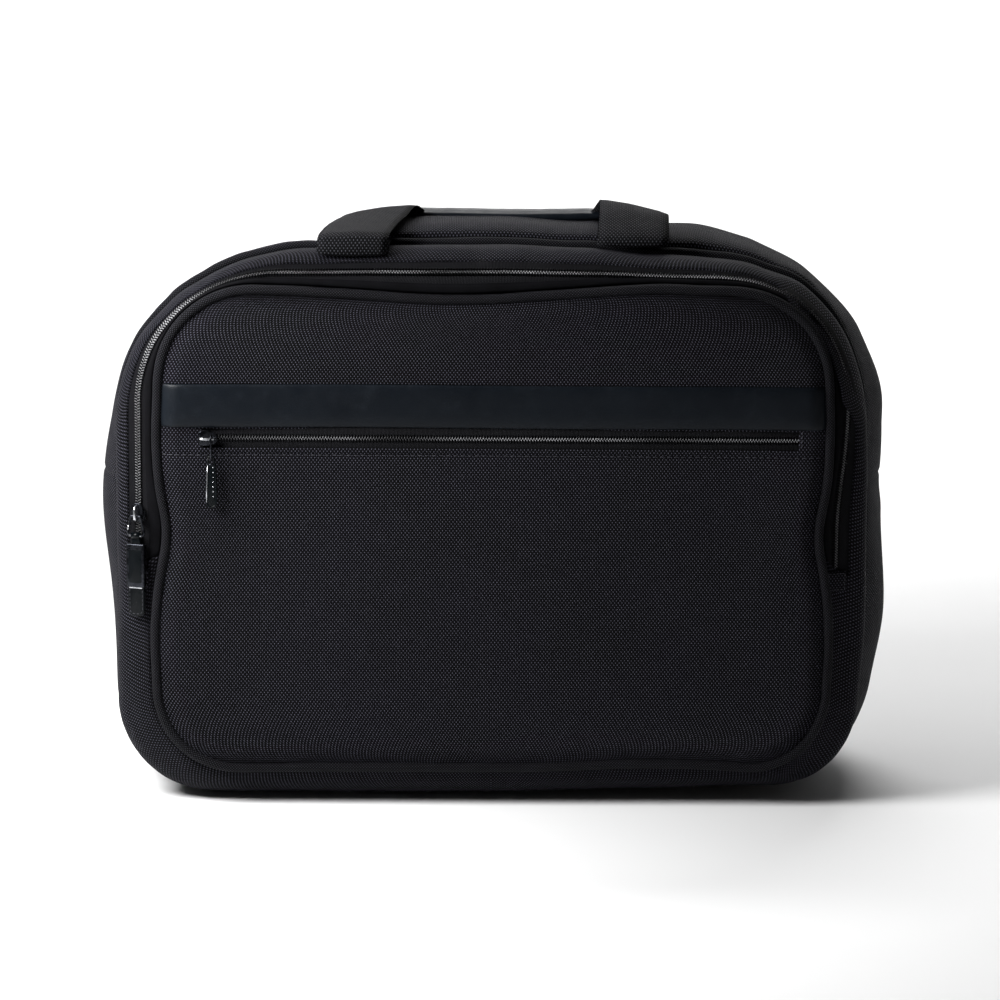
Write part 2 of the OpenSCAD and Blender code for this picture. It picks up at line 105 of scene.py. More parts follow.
# --- Outlines: a rounded rectangle in X and Z as points (x, z, nx, nz), from the middle of the
# bottom, up the left side, over the top and down the right side.
HALF_BASE, BOTTOM_ARC, SIDE, TOP_ARC, TOP = 58, 34, 58, 60, 84


def outline(width, z0, z1, top_r, bottom_r, inset):
    hw = width / 2 - inset
    z0 += inset
    z1 -= inset
    rt = top_r - inset
    rb = bottom_r - inset
    points = []

    def line(x0, za, x1, zb, nx, nz, n):
        for i in range(n):
            t = i / n
            points.append((mix(x0, x1, t), mix(za, zb, t), nx, nz))

    def arc(cx, cz, r, a0, a1, n):
        for i in range(n):
            a = math.radians(mix(a0, a1, i / n))
            points.append((cx + r * math.cos(a), cz + r * math.sin(a), math.cos(a), math.sin(a)))

    line(0, z0, -hw + rb, z0, 0, -1, HALF_BASE)
    arc(-hw + rb, z0 + rb, rb, 270, 180, BOTTOM_ARC)
    line(-hw, z0 + rb, -hw, z1 - rt, -1, 0, SIDE)
    arc(-hw + rt, z1 - rt, rt, 180, 90, TOP_ARC)
    line(-hw + rt, z1, hw - rt, z1, 0, 1, TOP)
    arc(hw - rt, z1 - rt, rt, 90, 0, TOP_ARC)
    line(hw, z1 - rt, hw, z0 + rb, 1, 0, SIDE)
    arc(hw - rb, z0 + rb, rb, 0, -90, BOTTOM_ARC)
    line(hw - rb, z0, 0, z0, 0, -1, HALF_BASE)
    return points


# How far the soft corners fall inside the true rounded rectangle, by direction in degrees
# seen from the middle of the bag: 0 is right, 90 is up.
SHOULDERS = ((-88, 0), (-62, 2.6), (-46, 4.6), (-34, 3.4), (-14, 0), (5, 0.4), (15, 1.6), (22, 1.4),
             (31, 0.2), (37, 0.4), (44, 4.2), (52, 6.4), (58, 5.6), (72, 2.2), (89, 0.5), (108, 1.4),
             (124, 3.2), (131, 5.0), (139, 4.8), (146, 3.2), (155, 1.0), (165, 0.3), (174, 0))
# How much further the rear of the left shoulder falls, seen the same way.
REAR_DROOP = ((104, 0), (117, 2.5), (128, 8), (137, 10.5), (148, 9), (160, 4), (172, 0))


def sagged(points, droop=((0, 0),)):
    """The outline with its soft shoulders."""
    result = []
    for x, z, nx, nz in points:
        angle = math.degrees(math.atan2(z - MIDDLE_Z, x))
        fall = through(angle, SHOULDERS) + through(angle, droop)
        result.append((x - fall * nx, z - fall * nz, nx, nz))
    return result


def main_outline(inset=0.0):
    return sagged(outline(BODY_W, 0, BODY_H, TOP_R, BOTTOM_R, inset))


def back_outline(inset=0.0):
    return sagged(outline(BACK_W, 0, BACK_H, TOP_R - 4, BOTTOM_R, inset), REAR_DROOP)


def front_outline(inset):
    return outline(FRONT_W, FRONT_Z0, FRONT_Z1, FRONT_TOP_R, FRONT_BOTTOM_R, inset)


def lengths(points):
    """Distance along a list of points from the first one."""
    total = [0.0]
    for p, q in zip(points, points[1:]):
        total.append(total[-1] + math.dist(p[:2], q[:2]))
    return total


N_LOOP = len(main_outline())


# --- Shape of the filled bag: formulas shared by every piece, so that seams meet.
MAIN_LOOP = main_outline()
BACK_LOOP = back_outline()
GUSSET_LOOP = main_outline(GROOVE)
FACE_LOOP = front_outline(0.5)
LEFT_SWELL = ((0, 6), (65, 6), (155, 14), (232, 6), (295, 0))
RIGHT_SWELL = ((0, 20), (40, 12), (95, 18), (150, 15.5), (168, 13.7), (197, 14.8), (212, 15.2),
               (250, 12), (285, 6), (300, 2))
CROWN = ((-185, -2), (-148, -7), (-120, -7), (-97, -3), (-70, 4), (-50, 9), (-34, 9.5), (45, 8.3),
         (85, 10), (112, 11), (139, 8), (166, 5), (192, 2))


def signed(x):
    return 1.0 if x >= 0 else -1.0


def main_point(i, y):
    """Point of the main gusset at outline step i and depth y."""
    i %= N_LOOP
    t = (y - SEAM_Y) / MAIN_DEPTH
    x, z, nx, nz = [mix(a, b, t) for a, b in zip(MAIN_LOOP[i], BACK_LOOP[i])]
    arch = max(4 * t * (1 - t), 0.0)
    side = through(z, LEFT_SWELL if x < 0 else RIGHT_SWELL) * arch * math.sqrt(abs(nx))
    top = through(x, CROWN) * math.sqrt(arch) * max(nz, 0.0)
    sag = 0.9 * rumple(x, y * 1.6, z, 46, 3.0) * min(arch * 2, 1)
    pucker = 0.35 * rumple(x, y, z, 8, 9.0) * (bump(y, SEAM_Y, 9) + bump(y, BACK_Y, 9))
    seam = -0.9 * bump(z, LEAF_FOLD_Z + 2, 1.6) * abs(nx)
    out = sag + pucker + seam
    z += top + out * nz
    x += signed(nx) * side + out * nx
    return x, y, max(z, 0.2)


def face_warp(x, z):
    """How the front panel's outline wanders from its true rounded rectangle."""
    side = smooth(abs(x), 120, 172) * smooth(abs(x), 189, 183)
    dx = -signed(x) * side * (5.0 * bump(z, 150, 24) + 1.0 * bump(z, 235, 20) - 1.6 * bump(z, 86, 30))
    edge_top = smooth(z, 235, 272) * smooth(abs(x), 178, 120)
    edge_base = smooth(z, 60, 30) * smooth(abs(x), 178, 120)
    dz = edge_top * (-5.0 * bump(x, -22, 62) + 1.5 * bump(x, 84, 34))
    dz += edge_base * (3.4 * bump(x, 92, 62) + 1.0 * bump(x, -60, 60))
    return dx, dz


def gusset_profile(p):
    """Depth in front of the main seam's plane, and share of the way in to the face outline."""
    if p < 1:
        return STRAIGHT_D * p, 0.0
    a = math.pi / 2 * (p - 1)
    return STRAIGHT_D + ROUND_D * math.sin(a), 1 - math.cos(a)


def front_normal(p, o):
    if p < 1:
        return o[2], 0.0, o[3]
    a = math.pi / 2 * (p - 1)
    width = (BODY_W - FRONT_W) / 2 - GROOVE
    c, s = math.cos(a) / width, math.sin(a) / ROUND_D
    n = math.hypot(c, s)
    return o[2] * c / n, -s / n, o[3] * c / n


def front_point(i, p, out=0.0):
    """Point of the front compartment's gusset at outline step i and profile position p."""
    i %= N_LOOP
    depth, share = gusset_profile(p)
    o = [mix(a, b, share) for a, b in zip(GUSSET_LOOP[i], FACE_LOOP[i])]
    n = front_normal(p, o)
    x, y, z = o[0] + out * n[0], EDGE_Y - depth + out * n[1], o[1] + out * n[2]
    dx, dz = face_warp(x, z)
    w = smooth(p, 1.7, 1.95)
    lean = 5.0 * smooth(x, 150, 180) * smooth(z, 218, 150) * smooth(p, 1.2, 1.7) * smooth(p, 2.0, 1.8)
    return x + w * dx - lean, y, z + w * dz


def rounded_span(z, width, z0, z1, rt, rb):
    """Half width at height z of a rounded rectangle."""
    hw = width / 2
    if z > z1 - rt:
        return hw - rt + math.sqrt(max(rt**2 - (z - z1 + rt) ** 2, 0))
    if z < z0 + rb:
        return hw - rb + math.sqrt(max(rb**2 - (z0 + rb - z) ** 2, 0))
    return hw


def face_span(z, inset):
    """Half width of the front panel at height z."""
    return rounded_span(z, FRONT_W - 2 * inset, FRONT_Z0 + inset, FRONT_Z1 - inset,
                        FRONT_TOP_R - inset, FRONT_BOTTOM_R - inset)


def edge_distance(x, z, width=FRONT_W, z0=FRONT_Z0, z1=FRONT_Z1, rt=FRONT_TOP_R, rb=FRONT_BOTTOM_R):
    """Distance in from a rounded rectangle's edge."""
    r = rt if z > (z0 + z1) / 2 else rb
    dx = abs(x) - (width / 2 - r)
    dz = abs(z - (z0 + z1) / 2) - ((z1 - z0) / 2 - r)
    outside = math.hypot(max(dx, 0), max(dz, 0))
    return r - outside - min(max(dx, dz), 0)


def face_y(x, z):
    """Depth of the front panel's outer face: crowned near its piping, nearly flat inside."""
    d = edge_distance(x, z)
    crown = 4.6 * smooth(d, 1, 15) - 1.8 * smooth(d, 16, 62)
    soft = 0.8 * rumple(x, 0, z, 62, 5.0) * smooth(d, 8, 50)
    pucker = 0.35 * rumple(x, 0, z, 9, 1.0) * bump(d, 6, 6)
    pocket = 1.3 * bump(z, POCKET_Z, 9) * smooth(d, 4, 20)
    return FACE_Y + 3.2 - crown - soft - pucker + pocket


# --- Mesh building
def mesh_object(name, verts, faces, materials, uvs=None, smooth_shade=True, slots=None):
    """verts in millimetres; uvs holds one (u, v) in metres for each face corner."""
    mesh = bpy.data.meshes.new(name)
    mesh.from_pydata([[c * MM for c in v] for v in verts], [], faces)
    if uvs:
        layer = mesh.uv_layers.new(name="UVMap")
        flat = np.array([c for face in uvs for uv in face for c in uv], dtype=np.float32)
        layer.data.foreach_set("uv", flat)
    for m in materials if isinstance(materials, (list, tuple)) else [materials]:
        mesh.materials.append(m)
    if slots:
        mesh.polygons.foreach_set("material_index", slots)
    mesh.polygons.foreach_set("use_smooth", [smooth_shade] * len(mesh.polygons))
    mesh.update()
    obj = bpy.data.objects.new(name, mesh)
    bpy.context.scene.collection.objects.link(obj)
    return obj


def orient(obj, outward):
    """Turns every face if most of them look the wrong way; outward(x, y, z) in millimetres."""
    total = 0.0
    for face in obj.data.polygons:
        c = face.center / MM
        total += face.normal.dot(Vector(outward(*c))) * face.area
    if total < 0:
        obj.data.flip_normals()
    return obj


def faced_out(obj):
    """Points every face of a closed mesh outwards."""
    bm = bmesh.new()
    bm.from_mesh(obj.data)
    bmesh.ops.recalc_face_normals(bm, faces=bm.faces)
    bm.to_mesh(obj.data)
    bm.free()
    return obj


def thicken(obj, amount, lining=False):
    """Gives a skin its cloth thickness inwards, with the second material on the inside."""
    m = obj.modifiers.new("thickness", "SOLIDIFY")
    m.thickness = amount * MM
    m.offset = -1
    m.use_even_offset = True
    m.thickness_clamp = 1.0
    if lining:
        m.material_offset = 1
    return obj


def grid(name, us, vs, point, uv, materials, outward, keep=None, closed=False, thick=1.4):
    """A skin over the grid us by vs. point and uv take one value of each; closed joins the ends."""
    rows = len(us) - 1 if closed else len(us)
    verts = [point(u, v) for u in us[:rows] for v in vs]
    nv = len(vs)
    faces, corner_uvs = [], []
    for a in range(len(us) - 1):
        b = (a + 1) % rows
        for c in range(nv - 1):
            if keep and not keep(us[a], vs[c], us[a + 1], vs[c + 1]):
                continue
            faces.append((a * nv + c, b * nv + c, b * nv + c + 1, a * nv + c + 1))
            corner_uvs.append([uv(us[a], vs[c]), uv(us[a + 1], vs[c]),
                               uv(us[a + 1], vs[c + 1]), uv(us[a], vs[c + 1])])
    used = sorted({v for f in faces for v in f})
    new = {v: k for k, v in enumerate(used)}
    faces = [[new[v] for v in f] for f in faces]
    obj = mesh_object(name, [verts[v] for v in used], faces, materials, corner_uvs)
    orient(obj, outward)
    if thick:
        thicken(obj, thick, lining=True)
    return obj


def add_tube(verts, faces, rings, closed=False):
    """Adds a tube through rings of equal length to verts and faces, capped unless it is closed."""
    base, m, n = len(verts), len(rings[0]), len(rings)
    for ring in rings:
        verts += ring
    for r in range(n if closed else n - 1):
        here, there = base + r * m, base + (r + 1) % n * m
        for k in range(m):
            kk = (k + 1) % m
            faces.append([here + k, here + kk, there + kk, there + k])
    if not closed:
        faces.append([base + k for k in range(m)][::-1])
        faces.append([base + (n - 1) * m + k for k in range(m)])


def tube(name, rings, materials, along, around, closed=False):
    """Tube with cloth coordinates: along and around hold the millimetres at each ring and each
    point of a ring, and one value more where the tube or the ring closes."""
    verts, faces = [], []
    add_tube(verts, faces, rings, closed)
    uvs = [[(u0 * MM, v0 * MM), (u0 * MM, v1 * MM), (u1 * MM, v1 * MM), (u1 * MM, v0 * MM)]
           for u0, u1 in zip(along, along[1:]) for v0, v1 in zip(around, around[1:])]
    if not closed:
        uvs += [[(0, 0)] * len(rings[0])] * 2
    return faced_out(mesh_object(name, verts, faces, materials, uvs))


def distances(path):
    """Distance along a path from its first point, at each of its points."""
    total = [0.0]
    for a, b in zip(path, path[1:]):
        total.append(total[-1] + math.dist(a, b))
    return total


def sweep(name, path, section, materials, up, closed=False, scale=None):
    """Sweeps section, points (side, up), along a path. UV is length along and round, in metres."""
    rings = []
    n = len(path)
    for k, p in enumerate(path):
        before = Vector(path[k - 1] if closed or k else path[0])
        after = Vector(path[(k + 1) % n] if closed or k < n - 1 else path[-1])
        t = (after - before).normalized()
        side = t.cross(Vector(up)).normalized()
        over = side.cross(t)
        f = scale(k / max(n - 1, 1)) if scale else (1.0, 1.0)
        rings.append([Vector(p) + side * a * f[0] + over * b * f[1] for a, b in section])
    along = distances(path + path[:1] if closed else path)
    return tube(name, rings, materials, along, distances(section + section[:1]), closed)


def points_every(path, gap, start=0.0):
    """Points gap apart along a path, each with the number of the path point before it."""
    travelled = 0.0
    for k, (p, q) in enumerate(zip(path, path[1:])):
        step = (q - p).length
        while start <= travelled + step:
            yield p + (q - p) * ((start - travelled) / step), k
            start += gap
        travelled += step


def oval(a, b, n=6):
    return [(a * math.cos(math.tau * k / n), b * math.sin(math.tau * k / n)) for k in range(n)]


def circle(r, n):
    return oval(r, r, n)


def ribbon_section(width, thick, n):
    """Flat band with rounded edges, n steps across."""
    hw, r = width / 2 - thick / 2, thick / 2
    half = [(mix(hw, -hw, k / n), r) for k in range(n + 1)]
    half += [(-hw - r * math.sin(math.pi * k / 4), r * math.cos(math.pi * k / 4)) for k in (1, 2, 3)]
    return half + [(-x, -y) for x, y in half]


def join(name, parts):
    """One object from several, keeping their materials."""
    bm = bmesh.new()
    materials = []
    for part in parts:
        for m in part.data.materials:
            if m not in materials:
                materials.append(m)
    for part in parts:
        start = len(bm.faces)
        bm.from_mesh(part.data)
        bm.faces.ensure_lookup_table()
        for f in bm.faces[start:]:
            f.material_index = materials.index(part.data.materials[f.material_index])
    mesh = bpy.data.meshes.new(name)
    bm.to_mesh(mesh)
    bm.free()
    for m in materials:
        mesh.materials.append(m)
    for part in parts:
        old = part.data
        bpy.data.objects.remove(part)
        bpy.data.meshes.remove(old)
    obj = bpy.data.objects.new(name, mesh)
    bpy.context.scene.collection.objects.link(obj)
    return obj


def bevel(obj, width):
    m = obj.modifiers.new("edges", "BEVEL")
    m.width = width * MM
    m.segments = 2
    m.limit_method = "ANGLE"
    m.angle_limit = math.radians(35)
    return obj


# --- Materials
class Shader:
    """Builds one node material with short calls. Sizes are in millimetres."""

    def __init__(self, name):
        self.material = bpy.data.materials.new(name)
        self.material.use_nodes = True
        self.tree = self.material.node_tree
        self.bsdf = self.tree.nodes["Principled BSDF"]
        # Position on the object at rest, in metres.
        self.place = self.node("ShaderNodeTexCoord").outputs["Object"]

    def node(self, kind, **inputs):
        n = self.tree.nodes.new(kind)
        for key, value in inputs.items():
            self.put(n.inputs[key], value)
        return n

    def put(self, socket, value):
        """Links an output to a socket, or sets a number or a colour (r, g, b) on it."""
        if isinstance(value, bpy.types.NodeSocket):
            self.tree.links.new(value, socket)
        else:
            socket.default_value = (*value, 1.0) if isinstance(value, tuple) else value

    def math(self, operation, a, b=0.0):
        n = self.node("ShaderNodeMath")
        n.operation = operation
        self.put(n.inputs[0], a)
        self.put(n.inputs[1], b)
        return n.outputs[0]

    def plus(self, a, b):
        return self.math("ADD", a, b)

    def times(self, a, b):
        return self.math("MULTIPLY", a, b)

    def humps(self, x):
        """Half a sine wave for each whole step of x."""
        return self.math("ABSOLUTE", self.math("SINE", self.times(x, math.pi)))

    def odd(self, steps):
        """1 where a whole number of steps is odd, else 0."""
        return self.math("FLOORED_MODULO", steps, 2.0)

    def mix(self, factor, a, b):
        n = self.node("ShaderNodeMix")
        n.data_type = "RGBA"
        self.put(n.inputs["Factor"], factor)
        self.put(n.inputs[6], a)
        self.put(n.inputs[7], b)
        return n.outputs[2]

    def scale(self, value, low, high, to_low=0.0, to_high=1.0):
        n = self.node("ShaderNodeMapRange")
        for key, number in enumerate((value, low, high, to_low, to_high)):
            self.put(n.inputs[key], number)
        return n.outputs[0]

    def noise(self, vector, size, detail):
        n = self.node("ShaderNodeTexNoise", Vector=vector, Scale=1 / (size * MM), Detail=detail,
                      Roughness=0.55)
        return n.outputs["Fac"]

    def uv(self):
        """Cloth coordinates in metres: the vector and its two parts."""
        n = self.node("ShaderNodeUVMap")
        n.uv_map = "UVMap"
        s = self.node("ShaderNodeSeparateXYZ", Vector=n.outputs[0])
        return n.outputs[0], s.outputs[0], s.outputs[1]

    def fixed(self, **values):
        """Numbers that are the same all over, set on the shader's own sockets."""
        for key, value in values.items():
            self.bsdf.inputs[key.replace("_", " ")].default_value = value

    def finish(self, color, roughness, height=None, strength=0.5, distance=0.3):
        self.put(self.bsdf.inputs["Base Color"], color)
        self.put(self.bsdf.inputs["Roughness"], roughness)
        if height is not None:
            b = self.node("ShaderNodeBump", Strength=strength, Distance=distance * MM, Height=height)
            self.put(self.bsdf.inputs["Normal"], b.outputs[0])
        return self.material


def shaded(color, share):
    return tuple(c * share for c in color)


def woven(name, low, high, tint, pitch_u, pitch_v, relief):
    """Coarse plain weave: yarns pass over and under in a staggered checkerboard of domes. Its colour is
    painted light: a painted glint on each dome's crest and painted shade in the gaps.
    """
    s = Shader(name)
    vector, u, v = s.uv()
    wobble = s.times(s.math("SUBTRACT", s.noise(vector, 14, 2), 0.5), 0.5)
    cu = s.plus(s.math("DIVIDE", u, pitch_u * MM), wobble)
    cv = s.plus(s.math("DIVIDE", v, pitch_v * MM), wobble)
    under = s.odd(s.plus(s.math("FLOOR", cu), s.math("FLOOR", cv)))
    dome = s.math("POWER", s.times(s.humps(cu), s.humps(cv)), 0.55)
    over = s.times(dome, s.scale(under, 0, 1, 0.30, 1.0))
    height = s.plus(over, s.times(s.noise(vector, 0.35, 2), 0.25))
    blotch = s.noise(s.place, 9, 3)
    # shade is the painted shade in the gaps between the domes; lit is the painted glint on their crests.
    shade = s.mix(s.scale(s.noise(s.place, 55, 4), 0.38, 0.66), low, tint)
    lit = s.mix(s.scale(blotch, 0.3, 0.75), high, shaded(high, 1.25))
    color = s.mix(s.math("POWER", over, 4.5), shade, lit)
    roughness = s.scale(s.plus(over, s.times(blotch, 0.6)), 0.1, 1.4, 0.78, 0.54)
    s.fixed(Specular_IOR_Level=0.07)
    return s.finish(color, roughness, height, 0.85, relief)


def ribbed(name, low, high, rib, along, rough):
    """Nylon tape: ribs across the width, each crossed by a fine herringbone of yarns, with painted
    highlight on the raised yarns and painted shade in the grooves.
    """
    s = Shader(name)
    _, u, v = s.uv()
    row = s.math("DIVIDE", u, rib * MM)
    shift = s.times(s.odd(s.math("FLOOR", row)), 0.5)
    yarns = s.humps(s.plus(s.math("DIVIDE", v, along * 2 * MM), shift))
    height = s.plus(s.math("POWER", s.humps(row), 0.6), s.times(yarns, 0.55))
    # Colour follows height: painted highlight on the ribs, painted shade in the grooves between them.
    color = s.mix(s.scale(height, 0.55, 1.5), low, high)
    color = s.mix(s.scale(s.noise(s.place, 12, 3), 0.35, 0.7, 0, 0.35), color, low)
    roughness = s.scale(s.noise(s.place, 0.6, 2), 0.2, 0.8, rough + 0.1, rough - 0.1)
    s.fixed(Specular_IOR_Level=0.08)
    return s.finish(color, roughness, height, 0.9, 0.45)


def hide_material(name, base, light, rough=0.36):
    """Smooth blue-black leather: fine pebble grain with painted shade in its creases, soft colour drift,
    rubbed high spots.
    """
    s = Shader(name)
    cells = s.node("ShaderNodeTexVoronoi", Vector=s.place, Scale=1 / (0.85 * MM))
    cells.feature = "DISTANCE_TO_EDGE"
    grain = s.scale(cells.outputs["Distance"], 0.0, 0.35)
    creases = s.times(s.math("SUBTRACT", 1.0, grain), 0.5)
    rub = s.noise(s.place, 7, 5)
    color = s.mix(s.scale(s.noise(s.place, 34, 4), 0.3, 0.72), base, light)
    color = s.mix(s.scale(rub, 0.56, 0.8, 0, 0.35), color, shaded(light, 1.8))
    # Painted shade: the grain's creases, its low places, are darkened.
    color = s.mix(creases, color, shaded(base, 0.4))
    height = s.plus(s.times(grain, 0.6), s.times(s.noise(s.place, 0.5, 3), 0.5))
    s.fixed(Specular_IOR_Level=0.11)
    return s.finish(color, s.scale(rub, 0.2, 0.8, rough - 0.07, rough + 0.14), height, 0.25, 0.12)


def metal_material(name, base, light, rough):
    """Dark plated zinc: polished highs, faint brushing, tarnish in patches."""
    s = Shader(name)
    patches = s.noise(s.place, 3.5, 5)
    color = s.mix(s.scale(patches, 0.35, 0.7), base, light)
    roughness = s.scale(patches, 0.3, 0.75, rough - 0.08, rough + 0.16)
    s.fixed(Metallic=0.9)
    return s.finish(color, roughness, s.noise(s.place, 0.25, 2), 0.12, 0.05)


def plain_fibre(name, low, high, size, rough, relief, specular=0.2):
    """Fine matt fibre: lining, fibreboard, binding and thread differ in grain and colour."""
    s = Shader(name)
    fine = s.noise(s.place, size, 3)
    wide = s.noise(s.place, size * 22, 4)
    color = s.mix(s.scale(s.plus(s.times(fine, 0.5), s.times(wide, 0.5)), 0.35, 0.66), low, high)
    s.fixed(Specular_IOR_Level=specular)
    return s.finish(color, s.scale(wide, 0.3, 0.7, rough - 0.06, rough + 0.08), fine, 0.6, relief)


def coil_material(name, low, high, specular):
    """Nylon zip coil: brighter and duller stretches, with dull patches."""
    s = Shader(name)
    patches = s.noise(s.place, 4, 3)
    color = s.mix(s.scale(s.noise(s.place, 60, 2), 0.36, 0.66), low, high)
    color = s.mix(s.scale(patches, 0.45, 0.75, 0, 0.6), color, low)
    roughness = s.scale(patches, 0.3, 0.7, 0.16, 0.3)
    s.fixed(Specular_IOR_Level=specular)
    return s.finish(color, roughness, s.noise(s.place, 0.5, 2), 0.15, 0.05)


# In these weaves the high colour is the painted glint on the yarn crests; low and tint make the painted
# shade in the gaps.
CLOTH = woven("bag_cloth", (0.0006, 0.0006, 0.0009), (0.086, 0.085, 0.112), (0.0012, 0.0010, 0.0022),
              pitch_u=0.95, pitch_v=1.22, relief=1.1)
PIPED = woven("piped_cloth", (0.0006, 0.0006, 0.0008), (0.052, 0.052, 0.064), (0.0012, 0.0012, 0.0018),
              pitch_u=0.8, pitch_v=0.8, relief=0.5)
WEBBING = woven("handle_webbing", (0.0006, 0.0006, 0.0008), (0.066, 0.066, 0.078), (0.001, 0.001, 0.0016),
                pitch_u=1.35, pitch_v=1.0, relief=1.0)
TAPE = ribbed("zip_tape", (0.002, 0.002, 0.0025), (0.008, 0.008, 0.010), rib=0.7, along=0.35, rough=0.7)
LINING = plain_fibre("lining_cloth", (0.012, 0.012, 0.014), (0.03, 0.03, 0.034), 0.45, 0.62, 0.12)
BOARD = plain_fibre("fibre_board", (0.09, 0.065, 0.045), (0.15, 0.115, 0.08), 0.8, 0.85, 0.15)
STRIP = plain_fibre("smooth_binding", (0.0012, 0.0012, 0.0016), (0.0035, 0.0035, 0.0045),
                    0.5, 0.7, 0.12, 0.05)
HIDE = hide_material("leather", (0.0042, 0.0058, 0.0084), (0.0070, 0.0094, 0.0130))
PULL_HIDE = hide_material("pull_leather", (0.0012, 0.0020, 0.0027), (0.0026, 0.0040, 0.0050), 0.28)
THREAD = plain_fibre("thread", (0.018, 0.018, 0.022), (0.05, 0.05, 0.06), 0.3, 0.5, 0.05)
METAL = metal_material("gunmetal", (0.010, 0.011, 0.014), (0.030, 0.032, 0.038), 0.24)
# A lighter copy of the gunmetal, put on small parts as a painted highlight.
BRIGHT = metal_material("metal_painted_highlight", (0.30, 0.31, 0.33), (0.55, 0.56, 0.58), 0.2)
COIL = coil_material("zip_coil", (0.001, 0.001, 0.0012), (0.004, 0.004, 0.005), 0.08)
# A lighter copy of the coil: painted glints on the teeth's crests.
GLINT_COIL = coil_material("zip_coil_painted_glints", (0.022, 0.022, 0.024), (0.22, 0.22, 0.23), 0.3)


# --- Placing pieces: each rides on a body, or is baked where it stands
FLAP = ("bag", "front_flap", (0, FACE_Y * MM, 0.110), (0, FACE_Y * MM, 0.142))
LEAF = ("bag", "back_leaf", (0, REAR_Y * MM, 0.152), (0, REAR_Y * MM, 0.196))


def piece(obj, body, slot, *nodes):
    """Rides on a body; when body is one of the blends above, its transform is baked into the mesh
    instead.
    """
    if isinstance(body, tuple):
        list(body)
        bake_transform(obj)
    else:
        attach(obj, body)
    if nodes:
        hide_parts(*nodes)
    return obj


def spread(a, b, step):
    n = max(2, round(abs(b - a) / step))
    return [mix(a, b, k / n) for k in range(n + 1)]


# --- Main compartment: gusset, rear strip, piping
STEPS = list(range(N_LOOP + 1))
MAIN_LENGTH = lengths(MAIN_LOOP + MAIN_LOOP[:1])
GUSSET_LENGTH = lengths(GUSSET_LOOP + GUSSET_LOOP[:1])
MAIN_ZIP_END = 157.0
FRONT_ZIP_END = 129.0


def loop_z(i):
    return MAIN_LOOP[i % N_LOOP][1]


def from_axis(x, y, z):
    return (x, 0, z - 150)


slot_front = MAIN_ZIP_Y - TAPE_EDGE
slot_rear = MAIN_ZIP_Y + TAPE_EDGE
gusset_ys = spread(SEAM_Y, slot_front, 2.6) + spread(slot_front, slot_rear, 2.6)[1:] + spread(
    slot_rear, BACK_Y, 2.4)[1:]


def gusset_uv(i, y):
    return MAIN_LENGTH[i] * MM, y * MM


def above_main_end(i, y, i2, y2):
    return min(loop_z(i), loop_z(i2)) > MAIN_ZIP_END


def in_gusset_body(i, y, i2, y2):
    return not (above_main_end(i, y, i2, y2) and y >= slot_front - 0.1)


def in_rear_strip(i, y, i2, y2):
    return above_main_end(i, y, i2, y2) and y >= slot_rear - 0.1


piece(grid("main_gusset_cloth", STEPS, gusset_ys, main_point, gusset_uv, [CLOTH, LINING], from_axis,
           in_gusset_body, closed=True), "bag", "cloth", "base_gusset", "top_strip_front")
piece(grid("rear_strip_cloth", STEPS, gusset_ys, main_point, gusset_uv, [CLOTH, LINING], from_axis,
           in_rear_strip, closed=True), LEAF, "cloth", "top_strip_rear")


def piping(name, line, y, radius, size, seed, warp=None):
    """Piping along a line of outline points, wandering a little as sewn piping does."""
    path = []
    for x, z, nx, nz in line:
        w = PIPING_WAVE * rumple(x, y, z, size, seed)
        dx, dz = warp(x, z) if warp else (0, 0)
        path.append((x + dx + w * nx, y + 0.6 * w, z + dz + w * nz))
    return sweep(name, path, circle(radius, 10), PIPED, closed=True, up=(0, 1, 0))


piece(piping("main_piping", main_outline(PIPING_R), SEAM_Y - PIPING_R, PIPING_R, 20, 2.0), "bag",
      "piping", "main_seam_piping")

# --- Front compartment: gusset, zip strip, inner piping
TAPE_P0 = ZIP_P - TAPE_EDGE * MM_P
STRIP_P0 = ZIP_P + 3.3 * MM_P
FRONT_ZIP_Z = [front_point(step, ZIP_P)[2] for step in range(N_LOOP)]


def above_front_end(i, p, i2, p2):
    return min(FRONT_ZIP_Z[i % N_LOOP], FRONT_ZIP_Z[i2 % N_LOOP]) > FRONT_ZIP_END


def front_skin(i, p):
    """Padded front gusset: full between its seams, pulled in at them, gathered on top."""
    x, y, z = front_point(i, p)
    o = GUSSET_LOOP[i % N_LOOP]
    n = front_normal(p, o)
    full = math.sin(math.pi * min(max(p / TAPE_P0, 0), 1)) if p < TAPE_P0 else 0.0
    out = 1.5 * full + 0.7 * rumple(x, y * 1.5, z, 34, 7.0) * full
    out += 0.35 * rumple(x, y, z, 7.5, 4.0) * bump(p, TAPE_P0, 0.35)
    if z > 250:
        for x0, depth in ((-8, 1.5), (22, 1.2), (5, 0.8)):
            out -= depth * bump(x, x0, 7) * bump(p, 1.25, 0.35)
    # The soft corner swells over the zip at the top right.
    hood = smooth(x, 148, 166) * smooth(z, 206, 226) * smooth(p, 0.9, TAPE_P0)
    out += 1.4 * hood
    inward = 8.6 * hood
    x += out * n[0] - inward * o[2]
    z += out * n[2] - inward * o[3]
    return x, y - 6.6 * hood + out * n[1], z


front_ps = spread(-0.12, 1.0, 0.14) + spread(1.0, TAPE_P0, 0.075)[1:] + spread(
    TAPE_P0, 1.98, 0.08)[1:]
FRONT_ARC = [0.0]
for pa, pb in zip(front_ps, front_ps[1:]):
    FRONT_ARC.append(FRONT_ARC[-1] + math.dist(front_point(300, pa), front_point(300, pb)))


def front_arc(p):
    return float(np.interp(p, front_ps, FRONT_ARC))


def front_uv(i, p):
    return GUSSET_LENGTH[i] * MM, front_arc(p) * MM


